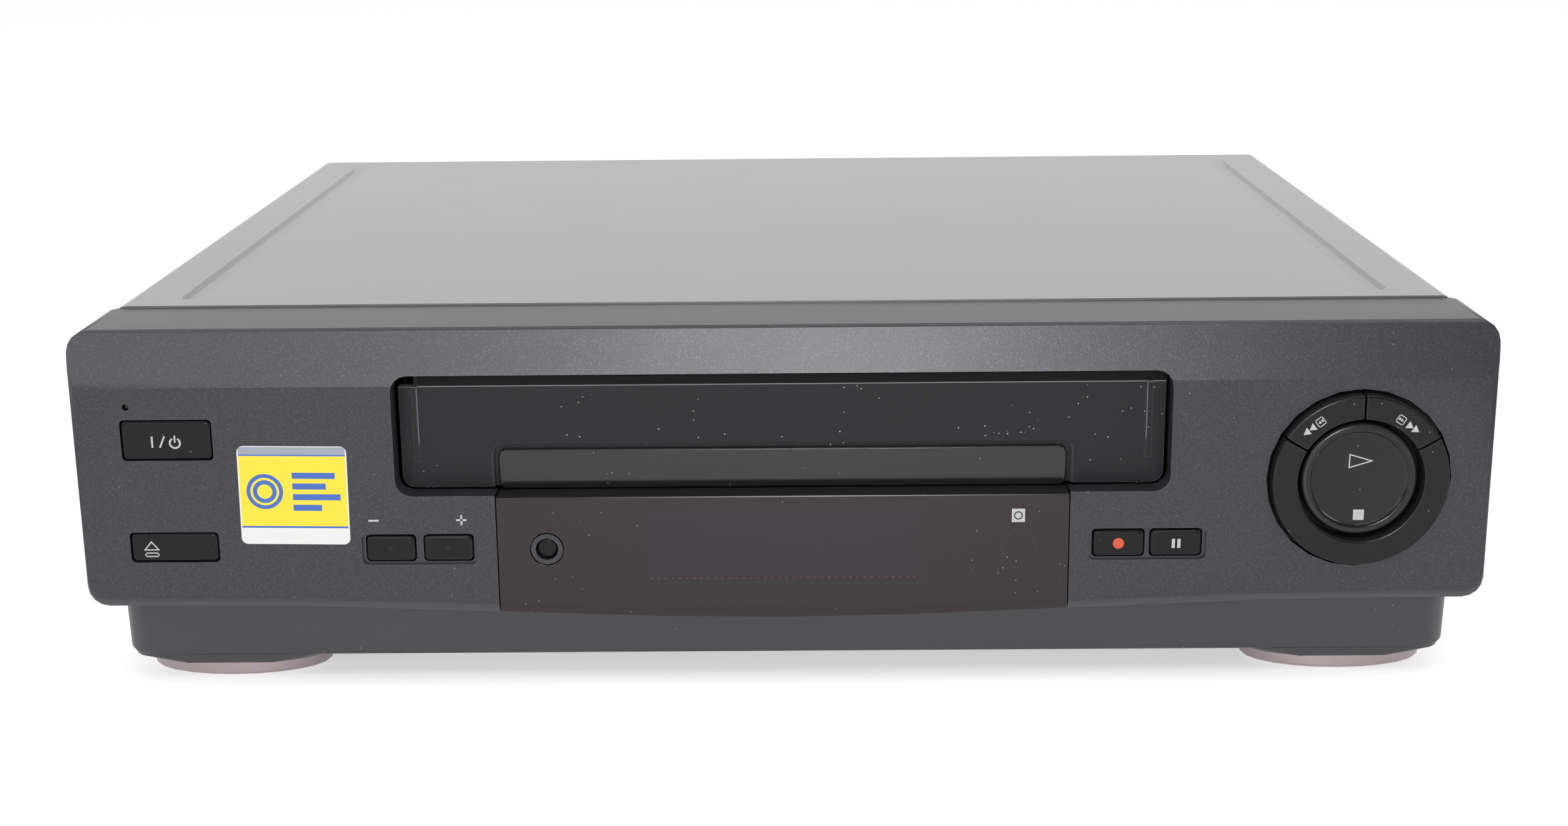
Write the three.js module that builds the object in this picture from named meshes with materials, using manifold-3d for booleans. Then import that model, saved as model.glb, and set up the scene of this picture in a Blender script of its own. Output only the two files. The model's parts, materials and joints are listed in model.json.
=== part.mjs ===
// A front-loading video cassette recorder, built as its real pieces.
// Millimetres, +Z up, +X to the right of the face, the face looks along -Y.
// Inside the recorder group, y is the depth behind the face, and z is the height above the table.

import * as THREE from 'three';
import { mergeVertices } from 'three/addons/utils/BufferGeometryUtils.js';
import Module from 'manifold-3d';

const wasm = await Module();
wasm.setup();

// Sizes of the whole recorder
const body = { width: 355, depth: 285, height: 95 };
const caseHalf = body.width / 2;

// Clearances that touching, sliding and turning pieces keep
const fit = { seat: 0.3, slide: 0.4, run: 0.3, film: 0.05, overrun: 6 };

// Moulded front housing
const panel = {
  wall: 2.5, depth: 30, fromTop: 0.5, creaseFromTop: 14.5, lean: 3.4, topRound: 1.2,
  bottom: 22.9, sag: 4.3, sagShare: 0.8451, sagSteps: 10, topCorner: 5, bottomCorner: 5.5, leastCorner: 0.6,
  edgeDepth: 2, edgeInset: 1.5, lipRise: 3.4, lipDepth: 1.1,
  rimDepth: 3, rimInset: 5.6, bossRadius: 3, bite: 1
};
const edgeShares = { early: 0.125, quarter: 0.25, third: 0.333 };
const panelTop = body.height - panel.fromTop;
const panelCrease = body.height - panel.creaseFromTop;
const sagHalf = panel.sagShare * caseHalf;

// A place is given in shares: x of the case's half width, y of its depth, and z of the face's rise.
function located(piece) {
  const { xShare = 0, yShare = 0, riseShare = 0 } = piece;
  return {
    x: xShare * caseHalf,
    y: yShare * body.depth,
    z: panel.bottom + riseShare * (panelTop - panel.bottom),
    ...piece
  };
}

const panelBosses = [
  { xShare: -0.9634, riseShare: 0.4064 }, { xShare: -0.6817, riseShare: 0.0992 },
  { xShare: -0.6817, riseShare: 0.7137 }, { xShare: 0.6394, riseShare: 0.0992 },
  { xShare: 0.6394, riseShare: 0.7137 }, { xShare: 0.9577, riseShare: 0.1271 }
].map(located);

// The doorway that the cassette goes in through, and the tunnel behind it
const entry = { halfShare: 0.547, fromTop: 12.1, tall: 30.9, corner: 4, tunnelWall: 2, tunnelDepth: 6.3 };
const opening = {
  ...entry,
  half: entry.halfShare * caseHalf,
  high: body.height - entry.fromTop,
  low: body.height - entry.fromTop - entry.tall
};

// Smoked window and what lies behind it
const pane = { halfShare: 0.4056, topGap: 0.5, thick: 2, flangeThick: 2, flangeDepth: 6 };
const windowPane = { ...pane, half: pane.halfShare * caseHalf, top: opening.low - pane.topGap };
const ledge = { thick: 2.2, sideReach: 3, drop: 2.5 };
const windowFloor = { ...ledge, half: windowPane.half + ledge.sideReach, top: windowPane.top - ledge.drop };
const tube = {
  sideGap: 34, lowGap: 4.1, topGap: 2.3, front: 5, thick: 5.6, viewInset: 2, viewRise: 0.5, corner: 1.5,
  tip: 1.6, edge: 0.5
};
const display = {
  ...tube,
  half: windowPane.half - tube.sideGap,
  low: panel.bottom + tube.lowGap,
  high: windowPane.top - tube.topGap,
  viewHalf: windowPane.half - tube.sideGap - tube.viewInset,
  viewLow: panel.bottom + tube.lowGap + tube.viewRise
};

// How high something sits in the lower row, as a share of the window's height
function inRow(share) {
  return panel.bottom + share * (windowPane.top - panel.bottom);
}

const rowShares = {
  setup: 0.521, infrared: 0.5245, program: 0.535, record: 0.5385, eject: 0.5629, recess: 0.5332
};
const setup = located({
  xShare: -0.3358, z: inRow(rowShares.setup), ring: 4.35, bezelOuter: 4.05, bezelFront: 0.7, radius: 2.5,
  front: 1, flange: 3.6
});
const infrared = located({
  xShare: 0.3346, z: inRow(rowShares.infrared), radius: 4.4, dome: 3.2, tip: 3, front: 5.2, boxHalf: 4.8,
  back: 11, domeShare: 0.17
});
const standby = { fromTop: 19.3 };
const lamp = located({
  xShare: -0.9197, z: body.height - standby.fromTop, radius: 0.9, lens: 0.6, front: 1.4
});

// Cassette door
const leaf = {
  sideGap: 0.7, lowGap: 0.3, topGap: 4.2, front: 7, thick: 2.6, corner: 3,
  hingeDepth: 11, hingeRise: 1.1, barrel: 2.2, pin: 1.4, pinReach: 2.9,
  notchGap: 0.9, notchTall: 10.8, notchDepth: 1.6, notchCorner: 2.5,
  ribWidth: 1.7, ribFromEdge: 3.3, ribRise: 6.7, ribProud: 0.6, springRoom: 4.8, lipRise: 3
};
const door = {
  ...leaf,
  half: opening.half - leaf.sideGap,
  low: opening.low + leaf.lowGap,
  flatTop: opening.high - leaf.topGap,
  hingeHeight: opening.high + leaf.hingeRise,
  pinEnd: opening.half + leaf.pinReach,
  notchHalf: windowPane.half + leaf.notchGap,
  notchTop: opening.low + leaf.lowGap + leaf.notchTall,
  ribLow: opening.low + leaf.lowGap + leaf.ribRise
};
const insert = { lowGap: 0.4, topGap: 1.05, thick: 1.3, corner: 2, edge: 0.4 };
const hingeEar = { thick: 3, topGap: 1.9, front: 7.6, back: 14.4 };
const earInner = opening.half + fit.seat;
const doorCoil = { wire: 0.25, coil: 2.3, length: 3.3, turns: 3, endGap: 0.8, start: 0, leg: 6, tail: 2 };
const doorSpring = { ...doorCoil, from: doorCoil.endGap - door.half };

// Push buttons: how far each travels, its stem, and its hole in the face
const button = {
  gap: 0.4, corner: 1.1, travel: 0.8, flange: 0.4, flangeThick: 1, edge: 0.35, stem: 1.6,
  nib: 0.5, nibProud: 0.25
};
const powerKey = located({ xShare: -0.8659, fromTop: 27.9, width: 23, height: 10.6 });
const ejectKey = located({ xShare: -0.8665, width: 22.6, height: 8 });
const programKeys = located({ xShare: -0.5172, width: 12.8, height: 7.2, pitch: 14.6 });
const recordKeys = located({ xShare: 0.5173, width: 13.35, height: 7.4, pitch: 14.45 });
const recess = { depth: 0.8, corner: 1.6, border: 0.9, height: 8.3 };

function keyHole(x, z, { width, height }) {
  return { x0: x - width / 2, x1: x + width / 2, z0: z - height / 2, z1: z + height / 2 };
}

function holePair(keys, z) {
  return [keyHole(keys.x - keys.pitch / 2, z, keys), keyHole(keys.x + keys.pitch / 2, z, keys)];
}

const powerHole = keyHole(powerKey.x, body.height - powerKey.fromTop, powerKey);
const ejectHole = keyHole(ejectKey.x, inRow(rowShares.eject), ejectKey);
const programHoles = holePair(programKeys, inRow(rowShares.program));
const recordHoles = holePair(recordKeys, inRow(rowShares.record));

// Round transport dial
const dial = located({
  xShare: 0.8113, riseShare: 0.4483, recess: 23, cupWall: 2, cupFloor: 4.5, ringOuter: 22, ringInner: 15.7,
  proud: 3, edge: 0.7, disc: 14.6, discProud: 1, rimWidth: 1.6, dish: 0.9, discBack: 3,
  stemRadius: 1.5, stemHole: 2.3, keyStemAt: 19, rockerStemAt: 9, ridgeHalf: 9, ridge: 0.6,
  markProud: 0.15, playRise: 4.5, playHalf: 3.2, playTall: 1.8, stopDrop: 9.5, stopHalf: 1.3
});
const keyAngles = { low: 30, middle: 90, high: 150, gap: 0.45 };

// Adhesive label on the face
const sticker = located({
  xShare: -0.6915, riseShare: 0.4141, width: 27.5, height: 25.7, thick: 0.2, corner: 1.6, turn: 0.8
});

// Front board with its switches
const frontBoard = {
  front: 11.3, thick: 1.6, sideGap: 4.5, lowGap: 3.3, topGap: 7, centreGap: 1.8, wingGap: 10.4,
  switchHalf: 3, switchBody: 3.2, plunger: 1, plungerRadius: 1.5, bite: 0.2
};

// Folded steel cover
const sheetCover = {
  sideGap: 3.8, sheet: 1, fold: 3, grooveFromSide: 17.7, grooveWidth: 5.5, grooveDepth: 0.9,
  grooveFrom: 38, grooveEndGap: 10.6, grooveRise: 1.2, slotCount: 9, slotWidth: 2.6, slotPitch: 6.5,
  slotLow: 44, slotHigh: 62, slotShare: 0.6667
};
const cover = {
  ...sheetCover,
  half: caseHalf - sheetCover.sideGap,
  low: panel.bottom + fit.seat,
  grooveX: caseHalf - sheetCover.sideGap - sheetCover.grooveFromSide,
  grooveTo: body.depth - sheetCover.grooveEndGap,
  slotFrom: sheetCover.slotShare * body.depth
};

// Moulded base and feet
const tray = {
  sideInset: 5.1, front: 7, backInset: 4, low: 6.6, wall: 2.2, floor: 2, high: 30, corner: 9,
  draft: 0.6, roundInset: 1.2, roundRise: 1.4, post: 4, rearHigh: 24, bite: 0.4
};
const base = { ...tray, half: caseHalf - tray.sideInset, back: body.depth - tray.backInset };
const foot = { fromSide: 27.8, y: 23, halfX: 23.5, halfY: 12, chamfer: 0.6 };
const footX = base.half - foot.fromSide;
const footBoss = {
  halfX: 38, halfY: 20, waistX: 27, waistY: 15.5, dip: 2.3, middleShare: 0.35, easedShare: 0.75
};
const rearFoot = { fromBack: 29, radius: 11, chamfer: 1, dish: 0.8, rim: 2.5 };
const rearFootY = base.back - rearFoot.fromBack;

// The frame that carries the cassette: what slides lies inside what guides it
const holderSize = {
  sideGap: 2.1, floorDrop: 1.5, tall: 26.3, sheet: 1, ledge: 17, front: 14.5, wallFront: 46, back: 81,
  pinRise: 9.5, pin: 1.8, pinAt: [52, 75], stopHeight: 10, travel: 84, loadedLow: 29.5,
  tongueShare: 0.3493, tongueHalf: 7, tongueFrom: 52, tongueTo: 74, tongueCut: 1.5
};
const holder = {
  ...holderSize,
  wallInner: opening.half - holderSize.sideGap,
  low: opening.low - holderSize.floorDrop,
  top: opening.low - holderSize.floorDrop + holderSize.tall,
  pinHeight: opening.low - holderSize.floorDrop + holderSize.pinRise,
  drop: opening.low - holderSize.floorDrop - holderSize.loadedLow,
  tongueX: holderSize.tongueShare * caseHalf
};
const sliderSize = {
  play: 0.9, sheet: 1, lowReach: 5, strapRise: 3.8, front: 46, back: 82, pinGap: 0.7, strapFront: 52,
  strapBack: 64, guideAt: [52, 76], guide: 1.8, guideReach: 2.9
};
const bracketSize = {
  play: 0.8, sheet: 1, low: 21.8, front: 46, back: 172, foot: 4, slotDrop: 4.8, topReach: 7,
  windowLow: 32, windowDrop: 12, windowFrom: [58, 112], windowLength: 44, windowCorner: 4
};
const sliderInner = holder.wallInner + holder.sheet + sliderSize.play;
const bracketInner = sliderInner + sliderSize.sheet + bracketSize.play;
const slider = {
  ...sliderSize,
  inner: sliderInner,
  low: holder.pinHeight - holder.drop - sliderSize.lowReach,
  high: holder.top + sliderSize.strapRise,
  pinEnd: bracketInner - sliderSize.pinGap,
  guideEnd: bracketInner + sliderSize.guideReach
};
const bracket = {
  ...bracketSize,
  inner: bracketInner,
  slotHeight: holder.top - bracketSize.slotDrop,
  high: holder.top - bracketSize.slotDrop + bracketSize.topReach,
  windowHigh: holder.top - bracketSize.slotDrop - bracketSize.windowDrop
};

// Tape deck
const deckSize = {
  edgeGap: 0.3, frontShare: 0.1825, backShare: 0.8807, plate: 1.5, low: 20, corner: 5, postInset: 9,
  postFrontInset: 8, postBackInset: 7, supportRadius: 3, supportTop: 30.2
};
const deck = {
  ...deckSize,
  half: bracket.inner + bracket.foot + deckSize.edgeGap,
  front: deckSize.frontShare * body.depth,
  back: deckSize.backShare * body.depth
};
const supports = [
  { xShare: -0.3944, yShare: 0.2526 }, { xShare: 0.3944, yShare: 0.2526 },
  { xShare: -0.1577, yShare: 0.4912 }, { xShare: 0.1577, yShare: 0.4912 }
].map(located);

// Rear panel with its sockets
const rear = { frontInset: 8.4, thick: 1.2, corner: 2.4 };
const rearFront = body.depth - rear.frontInset;
const rearBack = rearFront + rear.thick;
const scart = located({
  xShare: 0.293, low: 30, width: 47, height: 16, slant: 4, pitch: 22, bodyWidth: 56, border: 2,
  bodyDepth: 14, proud: 5.2, shellWall: 1, wellDepth: 9, tongueHeight: 7, tongueInset: 3
});
const tuner = {
  deckGap: 8, edgeGap: 7, height: 46, depth: 62, plugRadius: 4.7, plugBore: 3.6, collar: 6.5,
  collarProud: 0.9, plugProud: 6, plugPitch: 24, plugPin: 1.1, plugHeight: 42, lidRise: 0.8, lidInset: 2
};
const mains = located({
  xShare: -0.7775, z: 36, width: 24, height: 17, proud: 4.5, depth: 16, wellWidth: 16, wellHeight: 8.8,
  wellDepth: 12, pin: 1.2, pinPitch: 8.6, pinLength: 9, corner: 2, flange: 3, flangeThick: 2
});

// Circuit boards in the base
const boardSize = {
  low: 15.6, thick: 1.6, deckGap: 4, wallGap: 2.2, front: 34, backGap: 7, stripDepth: 18, stripShare: 0.5634,
  powerGap: 24, postInset: 7, powerPostInset: 10, tunerPostGap: 9.3, stripPostInset: 10
};
const board = {
  ...boardSize,
  inner: deck.half + boardSize.deckGap,
  half: base.half - base.wall - boardSize.wallGap,
  back: base.back - boardSize.backGap,
  strip: base.back - boardSize.backGap - boardSize.stripDepth,
  stripEnd: -boardSize.stripShare * caseHalf,
  powerBack: base.back - boardSize.backGap - boardSize.powerGap
};
const tunerLeft = deck.half + tuner.deckGap;
const tunerRight = board.half - tuner.edgeGap;
const tunerX = (tunerLeft + tunerRight) / 2;
const tunerFront = rearFront - fit.seat - tuner.depth;
const stripMiddle = board.strip + board.stripDepth / 2;
const postColumns = [board.half - board.postInset, board.inner + board.postInset];
const deckPostRows = [deck.front + deck.postFrontInset, deck.back - deck.postBackInset];
const boardPosts = [
  ...postColumns.flatMap((x) => [
    { x: -x, y: board.front + board.postInset }, { x: -x, y: board.powerBack - board.powerPostInset },
    { x, y: board.front + board.postInset }, { x, y: tunerFront - board.tunerPostGap }
  ]),
  { x: board.stripEnd + board.stripPostInset, y: stripMiddle }
];

// A component's place on a side board: its share of the board's width, from the deck's side outwards
function onBoard(piece) {
  const { side, wideShare, yShare } = piece;
  const reach = board.inner + wideShare * (board.half - board.inner);
  return { ...piece, x: side * reach, y: yShare * body.depth };
}

function onStrip(piece) {
  return { ...piece, x: piece.xShare * caseHalf, y: stripMiddle };
}

const component = { chipHeight: 3, bite: 0.3 };
const canSizes = {
  big: { radius: 9, height: 26 }, mid: { radius: 6, height: 18 }, small: { radius: 3.5, height: 11 }
};
const leftCapacitors = [
  { side: -1, wideShare: 0.7377, yShare: 0.3368, size: 'big' },
  { side: -1, wideShare: 0.2787, yShare: 0.3228, size: 'mid' },
  { side: -1, wideShare: 0.7377, yShare: 0.6842, size: 'mid' },
  { side: -1, wideShare: 0.7377, yShare: 0.7439, size: 'mid' },
  { side: -1, wideShare: 0.2131, yShare: 0.4211, size: 'small' }
].map(onBoard);
const rightCapacitors = [
  { side: 1, wideShare: 0.7049, yShare: 0.2456, size: 'mid' },
  { side: 1, wideShare: 0.2459, yShare: 0.2105, size: 'small' },
  { side: 1, wideShare: 0.2459, yShare: 0.2526, size: 'small' },
  { side: 1, wideShare: 0.8033, yShare: 0.4211, size: 'small' },
  { side: 1, wideShare: 0.623, yShare: 0.4491, size: 'small' }
].map(onBoard);
const stripCapacitors = [
  { xShare: -0.338, size: 'small' }, { xShare: -0.2535, size: 'small' }, { xShare: 0, size: 'small' }
].map(onStrip);
const chips = [
  ...[
    { side: 1, wideShare: 0.377, yShare: 0.3439, width: 26, depth: 26 },
    { side: 1, wideShare: 0.459, yShare: 0.5544, width: 34, depth: 14 },
    { side: 1, wideShare: 0.7049, yShare: 0.6316, width: 14, depth: 10 }
  ].map(onBoard),
  onStrip({ xShare: -0.1127, width: 18, depth: 8 })
];
const transformer = onBoard({
  side: -1, wideShare: 0.5082, yShare: 0.5263, width: 38, depth: 34, height: 30, coreWidth: 16,
  bobbinWidth: 24, bobbinInset: 4, foot: 2, footWidth: 48, tabDepth: 10
});
const heatSink = onBoard({
  side: -1, wideShare: 0.2787, yShare: 0.7193, length: 34, height: 34, thick: 2, finDepth: 8, fins: 4
});

// Head drum
const drum = located({
  xShare: -0.0338, yShare: 0.7053, middle: 43, radius: 31, lowHeight: 17, upHeight: 15, tilt: 5.97, shaft: 3,
  gap: 0.4, seatRadius: 24, seatLow: 21.8, seatHigh: 29.5, ledge: 0.8, ledgeDrop: 6, cap: 12, capHeight: 2.5,
  shaftDeep: 12, notch: 3, notchDeep: 2.5, notchHeight: 1.6, edge: 0.8
});

// Capstan, pinch roller and their drive
const capstan = located({
  xShare: 0.3493, yShare: 0.6105, radius: 2, top: 58, rotor: 22, rotorLow: 11.6, rotorHigh: 17.2, pulley: 7,
  pulleyHigh: 19.7, sleeve: 4.5, sleeveTop: 33
});
const stator = {
  outer: 27, low: 9.4, thick: 1.6, post: 2.2, postAt: 25, postAngles: [-40, 100, 200], plug: 5
};
const pinch = located({
  xShare: 0.4845, yShare: 0.5614, roller: 7, rollerLow: 36.4, rollerHigh: 50, bore: 1.8, shaft: 1.5,
  armLow: 23, armHigh: 25.4, armWidth: 7, touch: 0.35, swing: 40, pivot: 2, pivotTop: 27, eye: 4.5,
  engageAngle: -60, shaftTop: 51.5, collar: 2.6
});

// Reels and the wheel that drives them
const reel = located({
  xShare: 0.2507, yShare: 0.3754, table: 17, low: 22.3, rimHigh: 27, tableHigh: 28.6, hub: 10, hubHigh: 31,
  spindle: 4.4, spindleHigh: 42, tipHigh: 40.5, keyWidth: 1.6, keyProud: 1.8, axle: 1.5, keys: 3, chamfer: 1
});
const idler = located({
  yShare: 0.2737, pulley: 12, wheel: 16, wheelLow: 23.4, wheelHigh: 27.2, rimThick: 2, armLow: 27.6,
  armHigh: 28.8, armWidth: 7, axle: 1.4, axleTop: 29.6, shaft: 2.5, head: 2.4, headThick: 0.7
});
const belt = { thick: 1.2, gap: 0.25, low: 17.8, high: 19.2, pulleyLow: 17.5, pulleyHigh: 19.6 };

// Tape guides that draw the tape round the drum
const guide = {
  trackX: 4, trackBehind: 2, trackRadius: 50, slotHalf: 2.6, startAngle: 243, sweep: 83, baseWidth: 10,
  baseLength: 13, baseLow: 21.8, baseHigh: 26, keelHalf: 2.1, keelLength: 8, keelLow: 18.4,
  post: 1.5, roller: 3, flange: 4.2, flangeThick: 1.2, rollerLow: 35, rollerHigh: 52, slant: 1.1,
  slantAt: 4.6, slantLean: 3, slantTop: 50
};
const tension = located({
  xShare: -0.4169, yShare: 0.4912, tail: 13, armLow: 22.4, armHigh: 24.4, armWidth: 5,
  pin: 1.6, pinHigh: 52, pivot: 1.8, postTop: 28.4, eye: 4
});
const tensionPin = located({ xShare: -0.3099, yShare: 0.5544 });
const armSpring = { wire: 0.25, coil: 2.7, length: 2.9, turns: 3, from: 24.95, start: 90, leg: 5, tail: 2.5 };
const springTube = { stepsPerTurn: 9, wireSides: 4, samples: 160 };
const audioHead = located({
  xShare: 0.293, yShare: 0.6561, width: 7, depth: 8, low: 34, high: 52, plate: 10, face: 3, turn: 35
});
const eraseHead = located({
  xShare: -0.3493, yShare: 0.6175, width: 7, depth: 9, low: 34, high: 52, plate: 11, face: 3, turn: -20
});
const headMount = { low: 21.8, plateThick: 2, post: 2.2 };

// Loading drive
const cam = located({ xShare: 0.4282, yShare: 0.7684 });
const gear = {
  module: 1.25, camTeeth: 30, pinionTeeth: 8, axisAngle: 48, low: 24, thick: 4,
  addendumShare: 0.8, dedendumShare: 1.15, rootShare: 0.6, tipShare: 0.22, camHub: 8, camHigh: 29.4,
  axle: 2, mesh: 0.25, pinionLow: 23.4, pinionHigh: 28.6, holes: 4, hole: 2.6, holeAt: 12.5
};
const loader = {
  radius: 12, low: 31, height: 24, shaft: 1, shaftTop: 35, legThick: 2, legWidth: 20, legAt: 10.4,
  cap: 4, capHeight: 1.5
};

// Finishes of the pieces: colour, roughness and how metallic each is
const finish = {
  panelPlastic: [0x2b2c31, 0.6, 0], doorPlastic: [0x26272b, 0.6, 0], gloss: [0x131417, 0.2, 0],
  smoke: [0x1b1517, 0.1, 0], key: [0x17181c, 0.35, 0], cover: [0x3a393e, 0.42, 0.5],
  base: [0x2a2b30, 0.65, 0], footRing: [0xa8979c, 0.3, 0.8], rubber: [0x161616, 0.9, 0],
  label: [0xe9cf3a, 0.5, 0], steel: [0xa4a7ab, 0.35, 1], darkSteel: [0x55585c, 0.45, 1],
  zinc: [0xb9bdc0, 0.4, 1], aluminium: [0xc8cacc, 0.3, 1], white: [0xd8d8d2, 0.6, 0],
  cream: [0xcfc8b4, 0.6, 0], boardGreen: [0x2f5a38, 0.6, 0], boardTan: [0x9b7a45, 0.7, 0],
  glass: [0x20282c, 0.1, 0], black: [0x121214, 0.5, 0]
};

// Round shapes get this many sides
const sides = { tiny: 8, small: 12, medium: 16, large: 24, corner: 4, slot: 2, key: 10, ring: 32 };

const halfTurn = 180;
const fullTurn = 2 * halfTurn;
const degree = Math.PI / halfTurn;
const weld = 1e-4;
const { Vector2, Vector3 } = THREE;

function materialOf(name) {
  const [color, roughness, metalness] = finish[name];
  return new THREE.MeshStandardMaterial({ color, roughness, metalness });
}

// Six times the volume that the triangles enclose, negative when they face inwards
function sixVolumes(positions, corners) {
  const at = (corner) => new Vector3().fromArray(positions, corner * 3);
  let sum = 0;
  for (let i = 0; i < corners.length; i += 3) {
    const [a, b, c] = [at(corners[i]), at(corners[i + 1]), at(corners[i + 2])];
    sum += a.dot(b.cross(c));
  }
  return sum;
}

// A closed geometry becomes a solid that can be joined and cut.
function solidOf(geometry) {
  const bare = geometry.clone();
  bare.deleteAttribute('normal');
  bare.deleteAttribute('uv');
  const merged = mergeVertices(bare, weld);
  const corners = merged.index.array;
  const positions = merged.attributes.position.array;
  const inward = sixVolumes(positions, corners) < 0;
  const kept = [];
  for (let i = 0; i < corners.length; i += 3) {
    const [a, b, c] = [corners[i], corners[i + 1], corners[i + 2]];
    if (a === b || b === c || c === a) continue;
    if (inward) kept.push(a, c, b);
    else kept.push(a, b, c);
  }
  const mesh = new wasm.Mesh({
    numProp: 3,
    vertProperties: new Float32Array(positions),
    triVerts: new Uint32Array(kept)
  });
  return new wasm.Manifold(mesh);
}

// A solid becomes a named mesh, placed in its group.
function addPiece(group, name, solid, finishName, position = [0, 0, 0], turn = [0, 0, 0]) {
  const { vertProperties, triVerts } = solid.getMesh();
  const geometry = new THREE.BufferGeometry();
  geometry.setAttribute('position', new THREE.BufferAttribute(new Float32Array(vertProperties), 3));
  geometry.setIndex(new THREE.BufferAttribute(new Uint32Array(triVerts), 1));
  geometry.computeVertexNormals();
  const mesh = new THREE.Mesh(geometry, materialOf(finishName));
  mesh.name = name;
  mesh.position.set(...position);
  mesh.rotation.set(...turn);
  group.add(mesh);
}

// An outline in the plane across an axis is pushed along that axis.
// Across x the outline's corners are (y, z), across y they are (x, z), across z they are (x, y).
const axes = [new Vector3(1, 0, 0), new Vector3(0, 1, 0), new Vector3(0, 0, 1)];
const turned = {
  x: new THREE.Matrix4().makeBasis(axes[1], axes[2], axes[0]),
  y: new THREE.Matrix4().makeBasis(axes[0], axes[2], axes[1].clone().negate()),
  z: new THREE.Matrix4()
};

function prism(axis, shape, from, to, arcSides = sides.corner) {
  const geometry = new THREE.ExtrudeGeometry(shape, {
    depth: to - from, bevelEnabled: false, curveSegments: arcSides / 2
  });
  geometry.translate(0, 0, axis === 'y' ? -to : from);
  geometry.applyMatrix4(turned[axis]);
  return solidOf(geometry);
}

// Outlines with as many points each are joined in order, each at its level along the axis.
// Each place below turns an outline's point and its level into a corner.
const placed = {
  y: (point, level) => [point.x, level, point.y],
  z: (point, level) => [point.x, point.y, level]
};

function loft(axis, outlines) {
  const count = outlines[0].points.length;
  const facing = axis === 'y' ? -1 : 1;
  const rows = [...outlines].sort((one, other) => facing * (one.level - other.level));
  const positions = [];
  const index = [];
  for (const row of rows) {
    for (const point of row.points) positions.push(...placed[axis](point, row.level));
  }
  for (let r = 0; r + 1 < rows.length; r += 1) {
    for (let i = 0; i < count; i += 1) {
      const a = r * count + i;
      const b = r * count + (i + 1) % count;
      index.push(a, b, b + count, a, b + count, a + count);
    }
  }
  const first = THREE.ShapeUtils.triangulateShape(rows[0].points, []);
  for (const [a, b, c] of first) index.push(a, c, b);
  const start = (rows.length - 1) * count;
  const last = THREE.ShapeUtils.triangulateShape(rows[rows.length - 1].points, []);
  for (const [a, b, c] of last) index.push(start + a, start + b, start + c);
  const geometry = new THREE.BufferGeometry();
  geometry.setAttribute('position', new THREE.Float32BufferAttribute(positions, 3));
  geometry.setIndex(index);
  return solidOf(geometry);
}

function box(x0, x1, y0, y1, z0, z1) {
  const geometry = new THREE.BoxGeometry(x1 - x0, y1 - y0, z1 - z0);
  geometry.translate((x0 + x1) / 2, (y0 + y1) / 2, (z0 + z1) / 2);
  return solidOf(geometry);
}

function circle(x, y, radius) {
  return new THREE.Shape().absarc(x, y, radius, 0, 2 * Math.PI, false);
}

function ellipse(x, y, halfX, halfY) {
  return new THREE.Shape().absellipse(x, y, halfX, halfY, 0, 2 * Math.PI, false, 0);
}

function roundRect(x0, y0, x1, y1, r) {
  const shape = new THREE.Shape();
  shape.absarc(x1 - r, y0 + r, r, -Math.PI / 2, 0, false);
  shape.absarc(x1 - r, y1 - r, r, 0, Math.PI / 2, false);
  shape.absarc(x0 + r, y1 - r, r, Math.PI / 2, Math.PI, false);
  shape.absarc(x0 + r, y0 + r, r, Math.PI, 1.5 * Math.PI, false);
  return shape;
}

function polygon(points) {
  return new THREE.Shape(points.map(([x, y]) => new Vector2(x, y)));
}

// A rod along an axis, with its centre given in the plane across that axis
function rod(axis, u, v, radius, from, to, count = sides.small) {
  return prism(axis, circle(u, v, radius), from, to, count);
}

// A ring sector between two angles in degrees
function sector(x, y, inner, outer, low, high) {
  const shape = new THREE.Shape();
  shape.absarc(x, y, outer, low * degree, high * degree, false);
  shape.absarc(x, y, inner, high * degree, low * degree, true);
  return shape;
}

// A profile of [radius, level] corners is turned round an upright axis, or round an axis along y.
function turnedUp(profile, x, y, count = sides.medium) {
  const geometry = new THREE.LatheGeometry(profile.map(([r, h]) => new Vector2(r, h)), count);
  geometry.rotateX(Math.PI / 2);
  geometry.translate(x, y, 0);
  return solidOf(geometry);
}

function turnedBack(profile, x, z, count = sides.medium) {
  const geometry = new THREE.LatheGeometry(profile.map(([r, h]) => new Vector2(r, h)), count);
  geometry.translate(x, 0, z);
  return solidOf(geometry);
}

// A flat bar seen from above, with round ends
function bar(x0, y0, x1, y1, width, low, high) {
  const along = new Vector2(x1 - x0, y1 - y0).normalize();
  const [sx, sy] = [-along.y * width / 2, along.x * width / 2];
  const middle = polygon([[x0 + sx, y0 + sy], [x0 - sx, y0 - sy], [x1 - sx, y1 - sy], [x1 + sx, y1 + sy]]);
  return joined([
    prism('z', middle, low, high),
    rod('z', x0, y0, width / 2, low, high, sides.small),
    rod('z', x1, y1, width / 2, low, high, sides.small)
  ]);
}

function joined(solids) {
  return solids.reduce((sum, solid) => sum.add(solid));
}

function outlinePoints(shape, arcSides = sides.corner) {
  const points = shape.getPoints(arcSides / 2);
  if (points[0].distanceTo(points[points.length - 1]) < weld) points.pop();
  return points;
}

// The two ends of a stretch that lies on the right side, or mirrored on the left side
function span(side, near, far) {
  return side > 0 ? [near, far] : [-far, -near];
}

const bothSides = [-1, 1];

// Springs

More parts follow.
